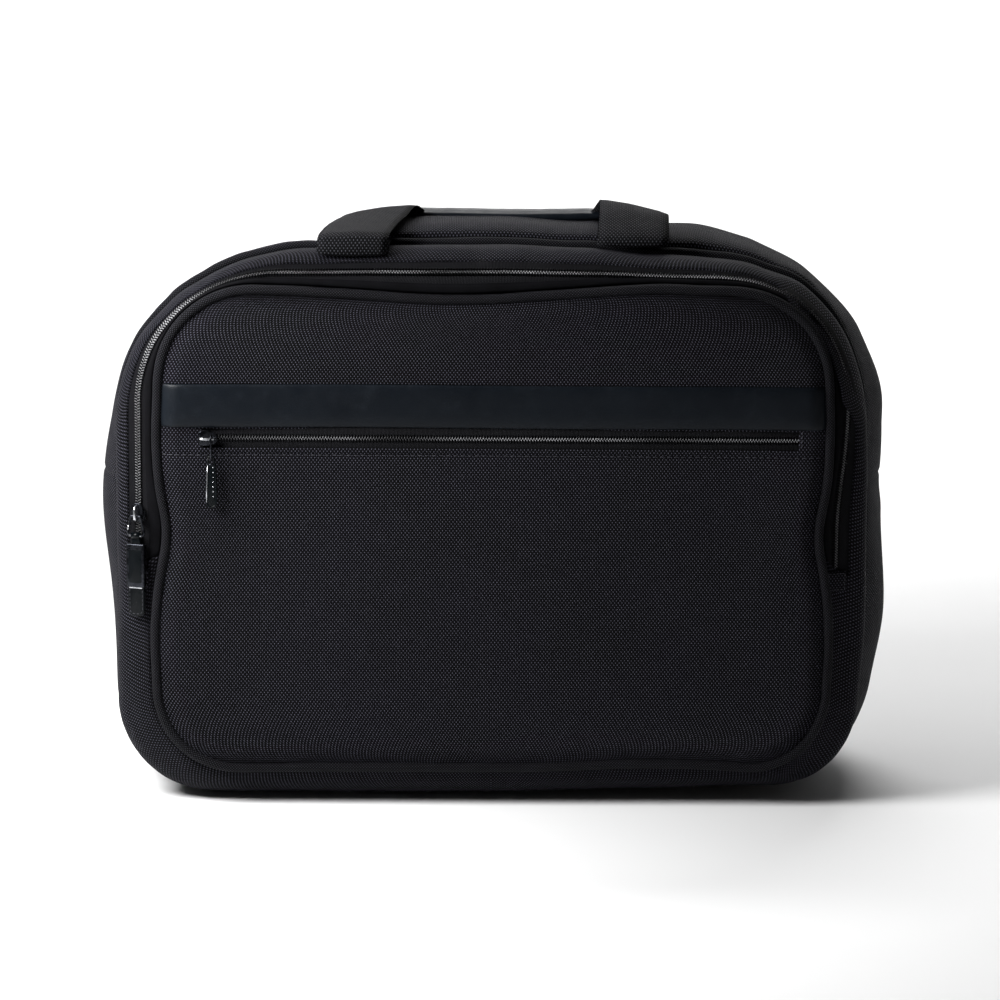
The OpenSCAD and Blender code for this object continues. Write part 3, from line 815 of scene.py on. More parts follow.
def front_outward(x, y, z):
    return (x, (y + 45) * 6 if y < -60 else 0, z - 150)


def in_front_gusset(i, p, i2, p2):
    return not (above_front_end(i, p, i2, p2) and p >= TAPE_P0 - 0.001)


piece(grid("front_gusset_cloth", STEPS, front_ps, front_skin, front_uv, [CLOTH, LINING],
           front_outward, in_front_gusset, closed=True), "bag", "cloth",
      "front_gusset_lower", "front_gusset_upper")


def strip_skin(i, p):
    across = min(max((p - STRIP_P0) / (2 - STRIP_P0), 0), 1)
    low = 0.9 * smooth(-FACE_LOOP[i % N_LOOP][0], 150, 175)
    return front_point(i, p, -0.1 - low + 0.5 * math.sin(math.pi * across))


strip_ps = spread(STRIP_P0, 1.995, 0.035)
piece(grid("flap_edge_strip", STEPS, strip_ps, strip_skin, front_uv, [STRIP, LINING], front_outward,
           above_front_end, closed=True, thick=1.0), FLAP, "tape", "flap_strip")

def front_tape(i, p):
    return front_point(i, p, -TAPE_SINK)


def tape(name, us, vs, point, uv, outward, body, node, **options):
    """Zip tape: thinner than the bag's cloth, and the same on both sides."""
    skin = grid(name, us, vs, point, uv, [TAPE, TAPE], outward, thick=0.6, **options)
    piece(skin, body, "tape", node)


for label, p_low, p_high, body in (("outer", TAPE_P0 - 0.05, ZIP_P - COIL_GAP * MM_P, "bag"),
                                   ("inner", ZIP_P + COIL_GAP * MM_P, STRIP_P0 + 0.05, FLAP)):
    tape(f"front_zip_tape_{label}_cloth", STEPS, spread(p_low, p_high, 0.04), front_tape, front_uv,
         front_outward, body, f"front_zip_tape_{label}", keep=above_front_end, closed=True)


piece(piping("front_piping", front_outline(3.2), FACE_Y + 2.8, 2.7, 18, 6.0, face_warp), FLAP,
      "piping", "front_piping_lower", "front_piping_upper")


# --- Front panel, leather band and pocket zip
PANEL_INSET = 4.6


def rows_between(z_low, z_high):
    """Heights for a panel's rows, closer together where the corners turn."""
    rows = []
    z = z_low
    while z < z_high:
        rows.append(z)
        d = min(z - FRONT_Z0, FRONT_Z1 - z)
        z += 2.6 if d > 30 else (1.6 if d > 14 else 0.8)
    if z_high - rows[-1] < 0.5:
        rows.pop()
    return rows + [z_high]


def panel_point(x_share, z):
    """Point of the front face; x_share runs from -1 to 1 between the piped edges."""
    x = x_share * face_span(z, PANEL_INSET)
    dx = face_warp(signed(x) * (FRONT_W / 2) * min(abs(x_share), 1), z)[0]
    dz = face_warp(x, z)[1]
    edge = smooth(abs(x_share), 0.6, 1.0)
    vertical = smooth(min(z - FRONT_Z0, FRONT_Z1 - z), 40, 6)
    return x + dx * edge, face_y(x, z), z + dz * vertical


def panel_uv(x_share, z):
    return x_share * (FRONT_W / 2 - 4) * MM, z * MM


def forward(x, y, z):
    return (0, -1, 0)


SPAN = FRONT_W / 2 - PANEL_INSET
SLOT_Z0, SLOT_Z1 = 196.4, 206.4
TOPSTITCH_Z = 192.4
COLUMN = 0.013
SLOT_X1 = POCKET_X1 - 2
slot_x0, slot_x1 = POCKET_X0 / SPAN, SLOT_X1 / SPAN
columns = sorted(set(spread(-1, slot_x0, COLUMN) + spread(slot_x0, slot_x1, COLUMN) + spread(
    slot_x1, 1, COLUMN)))
panel_rows = rows_between(FRONT_Z0 + PANEL_INSET, 186) + spread(186, SLOT_Z0, 0.9)[1:] + spread(
    SLOT_Z0, SLOT_Z1, 2.6)[1:] + [208.4, 210.4]


def lower_panel(x_share, z):
    x, y, z2 = panel_point(x_share, z)
    inside = smooth(x, POCKET_X0 - 6, POCKET_X0) * smooth(x, POCKET_X1 + 6, POCKET_X1)
    lip = 0.9 * bump(z, SLOT_Z0 - 0.8, 2.2) * inside
    stitched = 0.55 * bump(z, TOPSTITCH_Z, 0.9)
    return x, y - lip + stitched, z2


def not_in_slot(xa, za, xb, zb):
    return not (xa >= slot_x0 - 1e-6 and xb <= slot_x1 + 1e-6 and za >= SLOT_Z0 - 0.01
                and zb <= SLOT_Z1 + 0.01)


piece(grid("front_panel_cloth", columns, panel_rows, lower_panel, panel_uv, [CLOTH, LINING], forward,
           not_in_slot, thick=1.6), FLAP, "cloth", "front_panel_lower", "front_panel_middle")

top_rows = rows_between(228.5, FRONT_Z1 - PANEL_INSET)
piece(grid("front_top_panel_cloth", spread(-1, 1, COLUMN), top_rows, panel_point, panel_uv,
           [CLOTH, LINING], forward, thick=1.6), "front_flap", "cloth", "front_panel_top")

BAND_Z1 = BAND_Z0 + BAND_W
band_rows = [0.0, 0.02, 0.06, 0.12] + spread(0.2, 0.8, 0.1) + [0.88, 0.94, 0.98, 1.0]


def band_point(u, v):
    z = mix(BAND_Z0, BAND_Z1, v)
    x = u * (FRONT_W / 2 - 4.0)
    puff = 1.9 * (max(1 - (2 * v - 1) ** 2, 0) ** 0.22) - 0.25
    puff -= 0.22 * bump(v, 0.5, 0.25) + 0.14 * rumple(x, 0, z, 30, 8.0)
    sag = 0.35 * rumple(x, 0, 0, 80, 1.5)
    dx = face_warp(signed(x) * FRONT_W / 2, z)[0]
    tuck = 1.6 * smooth(abs(x), SPAN - 5, SPAN + 1)
    return x + dx * smooth(abs(x), 120, 178), face_y(x, z) - puff + tuck, z + sag


def band_uv(u, v):
    return u * FRONT_W / 2 * MM, v * BAND_W * MM


piece(grid("front_leather_band", spread(-1, 1, 0.012), band_rows, band_point, band_uv,
           [HIDE, LINING], forward, thick=1.0), "front_flap", "leather", "leather_band")


# --- Zip coil: turns of nylon on both sides of a line, staggered where they meet
TOOTH_PITCH = 1.5
COIL_NEAR, COIL_FAR, COIL_THICK = -0.35, 2.15, 1.7


def coil_half(name, frames, side, phase=0.0):
    """frames: (point on the surface, along, across, outward). side is 1 or -1 along across. The top of
    each tooth's crest gets the second, lighter material as a painted glint.
    """
    verts, faces, slots = [], [], []
    crown = (1, 2)
    # Painted glints: the upper faces of each tooth's crest segment take the lighter coil material.
    glint_slots = [int(r == 1 and k in crown) for r in range(3) for k in range(6)] + [0, 0]
    for c, k in points_every([f[0] for f in frames], TOOTH_PITCH, phase * TOOTH_PITCH):
        _, t, a, n = frames[k]
        # How far the painted glint reaches along each tooth; longer on the bag's left side.
        glint_reach = 1.15 + 0.75 * smooth(-c.x, 150, 178)
        rings = []
        for off, half, tall in ((COIL_NEAR, 0.30, 0.45), (COIL_NEAR + 0.35, 0.46, 1.0),
                                (COIL_NEAR + glint_reach, 0.42, 0.95), (COIL_FAR, 0.26, 0.30)):
            middle = c + a * side * off + t * (0.35 * off) - n * (COIL_THICK / 2)
            height = tall * COIL_THICK / 2
            rings.append([middle + t * x + n * y for x, y in oval(half, height)])
        add_tube(verts, faces, rings)
        slots += glint_slots
    return faced_out(mesh_object(name, verts, faces, [COIL, GLINT_COIL], slots=slots))


def zip_frames(steps, point, at, ahead, outward):
    """Frames along the line point(step, at); at + ahead is a little further across."""
    line = [Vector(point(step, at)) for step in steps]
    frames = []
    for k, p in enumerate(line):
        t = (line[min(k + 1, len(line) - 1)] - line[max(k - 1, 0)]).normalized()
        across = Vector(point(steps[k], at + ahead)) - p
        across = (across - t * across.dot(t)).normalized()
        n = t.cross(across).normalized()
        if n.dot(Vector(outward(*p))) < 0:
            n = -n
        frames.append((p, t, across, n))
    return frames


front_steps = [i for i in range(N_LOOP) if FRONT_ZIP_Z[i] > FRONT_ZIP_END + 1]
front_frames = zip_frames(front_steps, front_point, ZIP_P, 0.03, front_outward)
piece(coil_half("front_coil_outer", front_frames, -1), "bag", "coil", "front_zip_coil_outer")
piece(coil_half("front_coil_inner", front_frames, 1, 0.5), FLAP, "coil", "front_zip_coil_inner")

main_steps = [i for i in range(N_LOOP) if loop_z(i) > MAIN_ZIP_END + 2]
main_frames = zip_frames(main_steps, main_point, MAIN_ZIP_Y, 0.6, from_axis)
piece(coil_half("main_coil_front", main_frames, -1), "bag", "coil", "main_zip_coil_front")
piece(coil_half("main_coil_rear", main_frames, 1, 0.5), LEAF, "coil", "main_zip_coil_rear")


def main_tape(i, y):
    x, yy, z = main_point(i, y)
    nx, nz = MAIN_LOOP[i % N_LOOP][2:]
    return x - TAPE_SINK * nx, yy, z - TAPE_SINK * nz


for label, y_low, y_high, body in (("front", slot_front - 1.5, MAIN_ZIP_Y - COIL_GAP, "bag"),
                                   ("rear", MAIN_ZIP_Y + COIL_GAP, slot_rear + 1.5, LEAF)):
    tape(f"main_zip_tape_{label}_cloth", STEPS, spread(y_low, y_high, 1.5), main_tape, gusset_uv,
         from_axis, body, f"main_zip_tape_{label}", keep=above_main_end, closed=True)


def pocket_point(x, z):
    return x, FACE_Y + 0.4, z


pocket_steps = spread(POCKET_X0 + 1, POCKET_X1 - 1, 4)
pocket_frames = zip_frames(pocket_steps, pocket_point, POCKET_Z, 1, forward)
piece(join("pocket_coil", [coil_half("pocket_coil_upper", pocket_frames, 1),
                           coil_half("pocket_coil_lower", pocket_frames, -1, 0.5)]),
      "front_flap", "coil", "pocket_zip_coil")


def pocket_tape(x, z):
    return x, FACE_Y + 1.4 - 0.3 * bump(z, POCKET_Z, 2.5), z


def metres(x, z):
    return x * MM, z * MM


pocket_xs = spread(POCKET_X0 - 2, POCKET_X1 + 2, 3)
for label, z_low, z_high in (("upper", POCKET_Z + 0.4, BAND_Z0 + 1),
                             ("lower", POCKET_Z - 5.8, POCKET_Z - 0.4)):
    tape(f"pocket_tape_{label}_cloth", pocket_xs, spread(z_low, z_high, 1.2), pocket_tape, metres,
         forward, "front_flap", f"pocket_zip_tape_{label}")


def pouch_point(x, z):
    hang = smooth(z, 222, 190)
    return x, FACE_Y + 5.6 + 1.6 * hang * rumple(x, 0, z, 48, 12.0), z


piece(grid("pocket_pouch_cloth", spread(POCKET_X0, POCKET_X1, 5), spread(133, 228, 5), pouch_point,
           metres, [LINING, LINING], forward, thick=0.8), "front_flap", "lining", "pocket_pouch")


# --- Back panel, divider, board
def plate(name, spec, inset, depth, materials, outward, thick, droop=((0, 0),), step=4.0):
    """Panel filling a sagged outline; depth(x, z, distance from its edge) gives Y."""
    width, z0, z1, rt, rb = spec
    inner = (width - 2 * inset, z0 + inset, z1 - inset, rt - inset, rb - inset)
    rows, z = [], inner[1]
    while z < inner[2]:
        rows.append(z)
        d = min(z - inner[1], inner[2] - z)
        z += step if d > 34 else (2.2 if d > 14 else 1.0)
    rows.append(inner[2])

    def point(u, z):
        x = u * rounded_span(z, *inner)
        d = edge_distance(x, z, width, z0, z1, rt, rb)
        a = math.atan2(z - MIDDLE_Z, x)
        fall = through(math.degrees(a), SHOULDERS) + through(math.degrees(a), droop)
        fall *= smooth(d, 60, 5)
        return x - fall * math.cos(a), depth(x, z, d), z - fall * math.sin(a)

    return grid(name, spread(-1, 1, step / (width / 2)), rows, point,
                lambda u, z: (u * width / 2 * MM, z * MM), materials, outward, thick=thick)


def backward(x, y, z):
    return (0, 1, 0)


def back_depth(x, z, d):
    crown = 4.2 * smooth(d, 2, 20)
    soft = 0.8 * rumple(x, 50, z, 58, 21.0) * smooth(d, 8, 40)
    pucker = 0.4 * rumple(x, 50, z, 9, 22.0) * bump(d, 7, 6)
    handle_dent = 0.52 * smooth(z, 262, 250) * smooth(z, 196, 212) * smooth(abs(x), 110, 84)
    return REAR_Y - 3.4 + crown + soft + pucker - handle_dent


BACK_SPEC = (BACK_W, 0.0, BACK_H, TOP_R - 4, BOTTOM_R)
back_panel = plate("back_panel_padded", BACK_SPEC, 4.4, back_depth, [CLOTH, LINING], backward, 4.0,
                   REAR_DROOP)
piece(back_panel, LEAF, "cloth", "back_panel_lower", "back_panel_upper", "back_foam_lower",
      "back_foam_upper")
piece(piping("back_piping", back_outline(PIPING_R), BACK_Y + 2.8, PIPING_R, 20, 2.0), LEAF, "piping",
      "back_piping_lower", "back_piping_upper")

MAIN_SPEC = (BODY_W, 0.0, BODY_H, TOP_R, BOTTOM_R)


def divider_depth(x, z, d):
    return SEAM_Y - 2.4 + 0.8 * rumple(x, 0, z, 70, 30.0) * smooth(d, 6, 40)


piece(plate("divider_lining", MAIN_SPEC, 7.0, divider_depth, [LINING, LINING], forward, 2.0, step=6),
      "bag", "lining", "divider_panel", "divider_foam")


def upward(x, y, z):
    return (0, 0, 1)


def board_point(u, v):
    return u, v, 5.0 + 0.25 * rumple(u, v, 0, 60, 31.0)


board = grid("base_board_lined", spread(-146, 146, 8), spread(-29, 66, 8), board_point, metres,
             [BOARD, BOARD], upward, thick=2.4)
piece(bevel(board, 0.6), "bag", "board", "base_board")


# --- Stitches
def stitches(name, path, outward, length=2.7, gap=1.1, r=0.24):
    """Thread lying on a seam: short rounded stitches along a path."""
    verts, faces = [], []
    points = [Vector(p) for p in path]
    profile = ((-0.5, 0.35, -0.25), (-0.34, 0.9, 0.12), (0.34, 0.9, 0.12), (0.5, 0.35, -0.25))
    for c, k in points_every(points, length + gap):
        t = (points[k + 1] - points[k]).normalized()
        n = Vector(outward(*c)).normalized()
        s = t.cross(n).normalized()
        rings = []
        for along, wide, lift in profile:
            middle = c + t * along * length + n * (2 * r * lift)
            rings.append([middle + s * x + n * y for x, y in circle(r * wide, 6)])
        add_tube(verts, faces, rings)
    return faced_out(mesh_object(name, verts, faces, THREAD))


lip_line = [lower_panel(u, TOPSTITCH_Z) for u in spread(-0.985, 0.985, 0.02)]
lip_line = [(x, y - 0.05, z) for x, y, z in lip_line]
piece(stitches("pocket_topstitch", lip_line, forward), "front_flap", "cloth")
end_line = [(SLOT_X1 + 1.6, face_y(SLOT_X1 + 1.6, z) - 0.1, z) for z in spread(194.5, 206, 2)]
piece(stitches("pocket_end_stitch", end_line, forward, 1.6, 0.7), "front_flap", "cloth")


# --- Hardware, in a local frame: +Z up along the zip, -Y out of the bag, origin on the zip line
def placed(obj, origin, turn_z=0.0, turn_y=0.0):
    m = Matrix.Translation([c * MM for c in origin]) @ Matrix.Rotation(math.radians(turn_z), 4, "Z")
    obj.data.transform(m @ Matrix.Rotation(math.radians(turn_y), 4, "Y"))
    return obj


def prism(name, shape, y0, y1, material, edge=0.25):
    """Solid from an outline in X and Z, between two depths, with softened edges."""
    n = len(shape)
    verts = [(x, y0, z) for x, z in shape] + [(x, y1, z) for x, z in shape]
    faces = [list(range(n)), list(range(2 * n - 1, n - 1, -1))]
    faces += [[k, n + k, n + (k + 1) % n, (k + 1) % n] for k in range(n)]
    obj = mesh_object(name, verts, faces, material, smooth_shade=False)
    bm = bmesh.new()
    bm.from_mesh(obj.data)
    bmesh.ops.recalc_face_normals(bm, faces=bm.faces)
    rim = [e for e in bm.edges if len(e.link_faces) == 2 and e.calc_face_angle(0) > 0.6]
    bmesh.ops.bevel(bm, geom=rim, offset=edge * MM, segments=2, affect="EDGES", profile=0.6)
    for f in bm.faces:
        f.smooth = True
    bm.to_mesh(obj.data)
    bm.free()
    obj.modifiers.new("shading", "WEIGHTED_NORMAL")
    return obj


def arc_points(cx, cz, r, a0, a1, n):
    return [(cx + r * math.cos(math.radians(mix(a0, a1, k / n))),
             cz + r * math.sin(math.radians(mix(a0, a1, k / n)))) for k in range(n + 1)]


def slider_parts(name):
    """Zip slider: waisted plates with rolled rails, joined at the nose, and an arched bridge."""
    nose = arc_points(0, 6.6, 3.5, 25, 155, 10)
    shape = [(-3.0, 0.2), (3.0, 0.2), (3.9, 1.2), (4.1, 3.2), (3.6, 5.2)] + nose + [
        (-3.6, 5.2), (-4.1, 3.2), (-3.9, 1.2)]
    parts = [prism(name + "_top", shape, -1.75, -0.55, METAL, 0.35)]
    under = shape[:5] + [(3.2, 6.4), (-3.2, 6.4)] + shape[-3:]
    parts.append(prism(name + "_under", under, 2.95, 3.95, METAL))
    for side in (-1, 1):
        rail = [(side * 3.35, 0.6), (side * 4.2, 0.9), (side * 4.3, 5.4), (side * 3.45, 5.9)]
        parts.append(prism(f"{name}_rail_{side}", rail, -0.7, 0.55, METAL, 0.2))
    bridge = [(0, -1.5, 0.9), (0, -3.4, 0.95), (0, -4.6, 1.5), (0, -5.0, 2.8), (0, -5.0, 6.4),
              (0, -4.6, 8.0), (0, -3.4, 8.7), (0, -1.5, 8.9)]
    # The bridge is in the lighter metal as a painted highlight across the dark slider.
    parts.append(sweep(name + "_bridge", bridge, ribbon_section(1.3, 0.8, 2), BRIGHT, up=(0, -1, 0.2)))
    return join(name, parts)


def rounded_loop(w, l, r):
    """Ring of width w hanging from z 0 to -l, as a closed path in the X-Z plane."""
    hw = w / 2
    path = arc_points(-hw + r, -l + r, r, 180, 270, 6) + arc_points(hw - r, -l + r, r, 270, 360, 6)
    top, r = hw * 0.66 - 0.8, 0.8
    path += arc_points(top, -r, r, 0, 90, 3) + arc_points(-top, -r, r, 90, 180, 3)
    return [(x, 0, z) for x, z in path]


def tab_shape(w, top, length, corner=None, n=8):
    """Strap end hanging from -top to -length, with corners of radius corner, or else round."""
    r = corner or w / 2
    return ([(-w / 2, -top)] + arc_points(-w / 2 + r, -length + r, r, 180, 270, n)
            + arc_points(w / 2 - r, -length + r, r, 270, 360, n) + [(w / 2, -top)])


zip_normal = front_normal(ZIP_P, (0, 0, -1, 0))
FRONT_TURN = -math.degrees(math.atan2(-zip_normal[0], -zip_normal[1]))
MAIN_TURN = 90 + 17.99
FRONT_AT = (-190.24, -72.68)
MAIN_AT = (213.5, MAIN_ZIP_Y)
FRONT_SLIDER_Z, MAIN_SLIDER_Z = 155.0, LEAF_FOLD_Z + 2
RING_Y, RING_Z = -3.0, 3.1


def fit(obj, at, turn, z, body, node, y=0.0, slot="metal"):
    obj.data.transform(Matrix.Translation((0, y * MM, 0)))
    piece(placed(obj, (*at, z), turn), body, slot, node)


def wire_loop(name, w, l, r):
    return sweep(name, rounded_loop(w, l, 1.8), circle(r, 10), METAL, closed=True, up=(0, 1, 0))


def rod(name, a, b, r, material, n=8):
    return sweep(name, [a, b], circle(r, n), material, up=(0, 1, 0))


def pull_neck(name, half, z0, z1, material):
    return prism(name, [(-half, z0), (-half, z1), (half, z1), (half, z0)], -0.7, 0.7, material, 0.3)


# Front zip: slider, wire ring, leather strap in a plated sleeve.
RING_L = 10.5
fit(slider_parts("front_slider_body"), FRONT_AT, FRONT_TURN, FRONT_SLIDER_Z, "front_slider",
    "front_slider")
# The ring's bar and arm are in the lighter metal, a painted highlight on the dark wire ring.
ring = join("front_ring_wire", [
    wire_loop("front_ring_loop", 9.4, RING_L, 0.75),
    rod("front_ring_bar", (-3.4, -0.55, -RING_L), (3.4, -0.55, -RING_L), 0.5, BRIGHT),
    rod("front_ring_arm", (-4.5, -0.5, -RING_L + 3), (-4.2, -0.5, -5), 0.42, BRIGHT)])
fit(ring, FRONT_AT, FRONT_TURN, FRONT_SLIDER_Z + RING_Z, "front_ring", "front_pull_ring", RING_Y)

seam_line = [(x, -0.82, z) for x, z in tab_shape(7.4, 30, 42.6, corner=2.6)]
leather = join("front_pull_leather_strap", [
    prism("front_pull_leather", tab_shape(9.6, 4.6, 44, corner=3.4), -0.8, 0.8, PULL_HIDE, 0.5),
    rod("front_pull_eye", (-2.4, 0, 0), (2.4, 0, 0), 1.85, PULL_HIDE, 14),
    pull_neck("front_pull_neck", 2.5, -1.2, -5.4, PULL_HIDE),
    stitches("front_pull_seam", seam_line, forward, 1.5, 0.8, 0.2)])
sleeve_shape = tab_shape(10.4, 4.4, 28.0, corner=1.0, n=4)
clasp_shape = [(-3.9, -28.6), (3.9, -28.6), (3.9, -27.4), (-3.9, -27.4)]
# The clasp across the sleeve's end is in the lighter metal as a painted highlight.
sleeve = join("front_pull_metal_sleeve", [
    prism("front_pull_plate", sleeve_shape, -1.7, 1.7, METAL, 0.55),
    prism("front_pull_inlay", tab_shape(7.4, 7.4, 25.6, corner=1.0), -1.86, -1.6, PULL_HIDE, 0.08),
    prism("front_pull_clasp", clasp_shape, -1.5, -0.7, BRIGHT, 0.25)])
tab_z = FRONT_SLIDER_Z + RING_Z - RING_L
fit(leather, FRONT_AT, FRONT_TURN, tab_z, "front_tab", "front_pull_strap", RING_Y, "leather")
fit(sleeve, FRONT_AT, FRONT_TURN, tab_z, "front_tab", "front_pull_sleeve", RING_Y)

# Main zip, low on the right side behind the swelling gusset.
MAIN_RING_L = 9.0
fit(slider_parts("main_slider_body"), MAIN_AT, MAIN_TURN, MAIN_SLIDER_Z, "main_slider",
    "main_slider")
link = wire_loop("main_link_wire", 8.0, MAIN_RING_L, 0.65)
fit(link, MAIN_AT, MAIN_TURN, MAIN_SLIDER_Z + RING_Z, "main_ring", "main_pull_link", RING_Y)
tab = join("main_pull_metal_tab", [
    prism("main_pull_plate", tab_shape(7.5, 2.6, 27), -0.8, 0.8, METAL, 0.4),
    rod("main_pull_eye", (-1.9, 0, 0), (1.9, 0, 0), 1.7, METAL, 14),
    pull_neck("main_pull_neck", 1.9, -1.0, -3.4, METAL),
    prism("main_pull_inlay", tab_shape(4.6, 7.0, 25.2), -0.95, -0.75, PULL_HIDE, 0.08)])
main_tab_z = MAIN_SLIDER_Z + RING_Z - MAIN_RING_L
fit(tab, MAIN_AT, MAIN_TURN, main_tab_z, "main_tab", "main_pull_tab", RING_Y)

# Pocket zip: the slider lies on its side and its beaded pull hangs straight down.
LINK_Y = -84.6
PULL_X = POCKET_X0 + 5
pocket_slider = slider_parts("pocket_slider_body")
piece(placed(pocket_slider, (POCKET_X0 - 2, FACE_Y + 0.3, POCKET_Z), 0, 90), "pocket_slider",
      "metal", "pocket_slider")
link_path = [(0, y, z) for y, z in arc_points(0, 0, 2.35, 0, 180, 10)
             + [(-2.35, -9.6), (-1.6, -10.55), (1.6, -10.55), (2.35, -9.6)]]
link = sweep("pocket_link_wire", link_path, circle(0.5, 10), METAL, closed=True, up=(1, 0, 0))
piece(placed(link, (PULL_X, LINK_Y, POCKET_Z)), "pocket_link", "metal", "pocket_pull_link")

PULL_TOP = POCKET_Z - 8.4 - 1.9 - 0.45


def pull_edge(offset):
    """The pull's outline: narrow at the eye, widest two thirds down, round at the end."""
    side = [(1.9 - offset, 1.4), (2.3 - offset, -3.0), (2.7 - offset, -9.0), (3.0 - offset, -16.0)]
    end = arc_points(0, -23.2, 3.1 - offset, 0, -180, 9)
    return side + end + [(-x, z) for x, z in side[::-1]]


rim = [(x, 0, z) for x, z in pull_edge(0.5)]
frame_wire = sweep("pocket_pull_frame", rim, circle(0.55, 8), PULL_HIDE, closed=True, up=(0, 1, 0))
web = prism("pocket_pull_web", pull_edge(0.9)[1:-1], -0.35, 0.35, PULL_HIDE, 0.12)
crossbar = rod("pocket_pull_bar", (-1.8, 0, -2.9), (1.8, 0, -2.9), 0.5, METAL)
# Painted highlight: a thin strip of the lighter metal along part of the pull's rim.
glint = sweep("pocket_pull_edge_glint", rim[-5:-1], circle(0.3, 8), BRIGHT, up=(0, 1, 0))
glint.data.transform(Matrix.Translation((0, -0.5 * MM, 0)))
beads = [glint]


def rounding(t):
    return 1 - 0.8 * t**2, 1 - 0.8 * t**2


# The beads are real parts; the lighter metal on them is painted highlight.
for k in range(7):
    bead_z = -4.4 - 2.6 * k
    dome = [(1.0, y, bead_z) for y in (-0.2, -0.6, -0.9, -1.05)]
    beads.append(sweep(f"bead_{k}", dome, circle(0.46, 8), BRIGHT, up=(1, 0, 0), scale=rounding))
pull = join("pocket_pull_beaded_tab", [frame_wire, web, crossbar] + beads)
piece(placed(pull, (PULL_X, LINK_Y, PULL_TOP)), "pocket_tab", "metal", "pocket_pull_tab")


# --- Zip ends: folded cloth tabs sewn over the ends of both zips
def end_tab(name, w, h, at, turn):
    def point(u, v):
        x, z = u * w / 2, v * h / 2
        dome = 0.5 * (1 - abs(u) ** 6) * (1 - abs(v) ** 6)
        return x, -0.75 - dome - 0.15 * rumple(x, 0, z, 5, 40.0), z

    def uv(u, v):
        return u * w / 2 * MM, v * h / 2 * MM

    steps = spread(-1, 1, 0.15)
    cloth = grid(name, steps, steps, point, uv, [CLOTH, LINING], forward, thick=0)
    corners = ((-1, 1), (-1, -1), (1, -1), (1, 1), (-1, 1))
    square = [(a * w * 0.4, -1.35, b * h * 0.4) for a, b in corners]
    line = stitches(name + "_stitch", square, forward, 1.6, 0.8, 0.2)
    return thicken(placed(join(name, [cloth, line]), at, turn), 1.0)


for side, label in ((-1, "left"), (1, "right")):
    front_at = (side * (187.5 - 2.5 * side), FRONT_AT[1], FLAP_FOLD_Z - 2)
    piece(end_tab(f"front_zip_end_{label}", 12, 11, front_at, -side * FRONT_TURN),
          "bag", "cloth", f"front_zip_end_tab_{label}")
    main_at = (side * MAIN_AT[0], MAIN_AT[1], LEAF_FOLD_Z - 13)
    piece(end_tab(f"main_zip_end_{label}", 15, 15, main_at, side * MAIN_TURN),
          "bag", "cloth", f"main_zip_end_tab_{label}")


# --- Handles
WEBBING_W, WEBBING_THICK = 38, 1.7


def curve_through(points, step=2.5):
    """Catmull-Rom curve through points, sampled about every step millimetres."""
    p = [Vector(q) for q in points]
    p = [p[0] * 2 - p[1]] + p + [p[-1] * 2 - p[-2]]
    result = []
    for a, b, c, d in zip(p, p[1:], p[2:], p[3:]):
        n = max(2, round((c - b).length / step))
        for k in range(n):
            t = k / n
            result.append(0.5 * ((2 * b) + (c - a) * t + (2 * a - 5 * b + 4 * c - d) * t * t
                                 + (3 * b - a - 3 * c + d) * t**3))
    result.append(p[-2])
    return result


def webbing(name, knots):
    """Strap across X through knots (x, y, z, width, roll): roll lifts its right edge."""
    path = curve_through([k[:3] for k in knots])
    shape = curve_through([(k[3], k[4], 0) for k in knots], step=1e9)
    marks = np.linspace(0, 1, len(shape))
    share = np.linspace(0, 1, len(path))
    widths = np.interp(share, marks, [s[0] for s in shape])
    rolls = np.interp(share, marks, [s[1] for s in shape])
    section = ribbon_section(2.0, WEBBING_THICK, 14)
    rings = []
    for k, p in enumerate(path):
        t = path[min(k + 1, len(path) - 1)] - path[max(k - 1, 0)]
        t.x = 0
        t.normalize()
        up = Vector((0, -t.z, t.y))
        roll = math.radians(rolls[k])
        across = Vector((math.cos(roll), 0, 0)) + up * math.sin(roll)
        ring = []
        for a, b in section:
            side = a * (widths[k] / 2)
            lift = b - 0.5 * a * a + 0.12 * rumple(side, k * 2.5, 0, 9, 50.0)
            ring.append(p + across * side + up * lift)
        rings.append(ring)
    around = [a * WEBBING_W / 2 for a, _ in section + section[:1]]
    return tube(name, rings, WEBBING, distances(path), around)


SWING = ("bag", "front_handle", (0, -0.066, 0.3000), (0, -0.034, 0.3100))
REAR_SWING = ("back_leaf", "rear_handle", (0, 0.0774, 0.297), (0, 0.0790, 0.285))

left_knots = [
    (-74, -36, 303.2, 38, 0), (-74.5, -50, 303.6, 38, 0), (-75, -60, 302.6, 38, 0),
    (-75.3, -66.5, 299.6, 38, 0), (-75.5, -69.6, 298.6, 38, 1), (-75.4, -70.6, 301.4, 38, 1),
    (-75.2, -69.8, 306.0, 38, 1), (-74.6, -65, 309.6, 38, 2), (-71, -38, 312.6, 38, 3),
    (-66, -16, 315.0, 37, 5), (-61, 4, 317.2, 36, 7), (-55, 18, 315.6, 31, 4), (-49, 28, 312.9, 25, 0)]
right_knots = [
    (74, -36, 303.2, 38, 0), (74, -44, 303.6, 38, 0), (74, -49, 302.2, 38, 0),
    (74.2, -52.2, 303.4, 38, -1), (74.4, -50.4, 307.2, 38, -3), (75, -42, 312.2, 38, -6),
    (76, -26, 318.4, 38, -10), (76.5, -8, 320.4, 37, -12), (75, 8, 318.4, 35, -10),
    (70, 20, 315.2, 30, -5), (64, 28, 312.9, 25, 0)]


def strap(end, label, knots, swing):
    piece(webbing(f"{end}_webbing_{label}", knots), swing, "webbing",
          f"{end}_handle_webbing_{label}", f"{end}_handle_anchor_{label}")


strap("front", "left", left_knots, SWING)
strap("front", "right", right_knots, SWING)


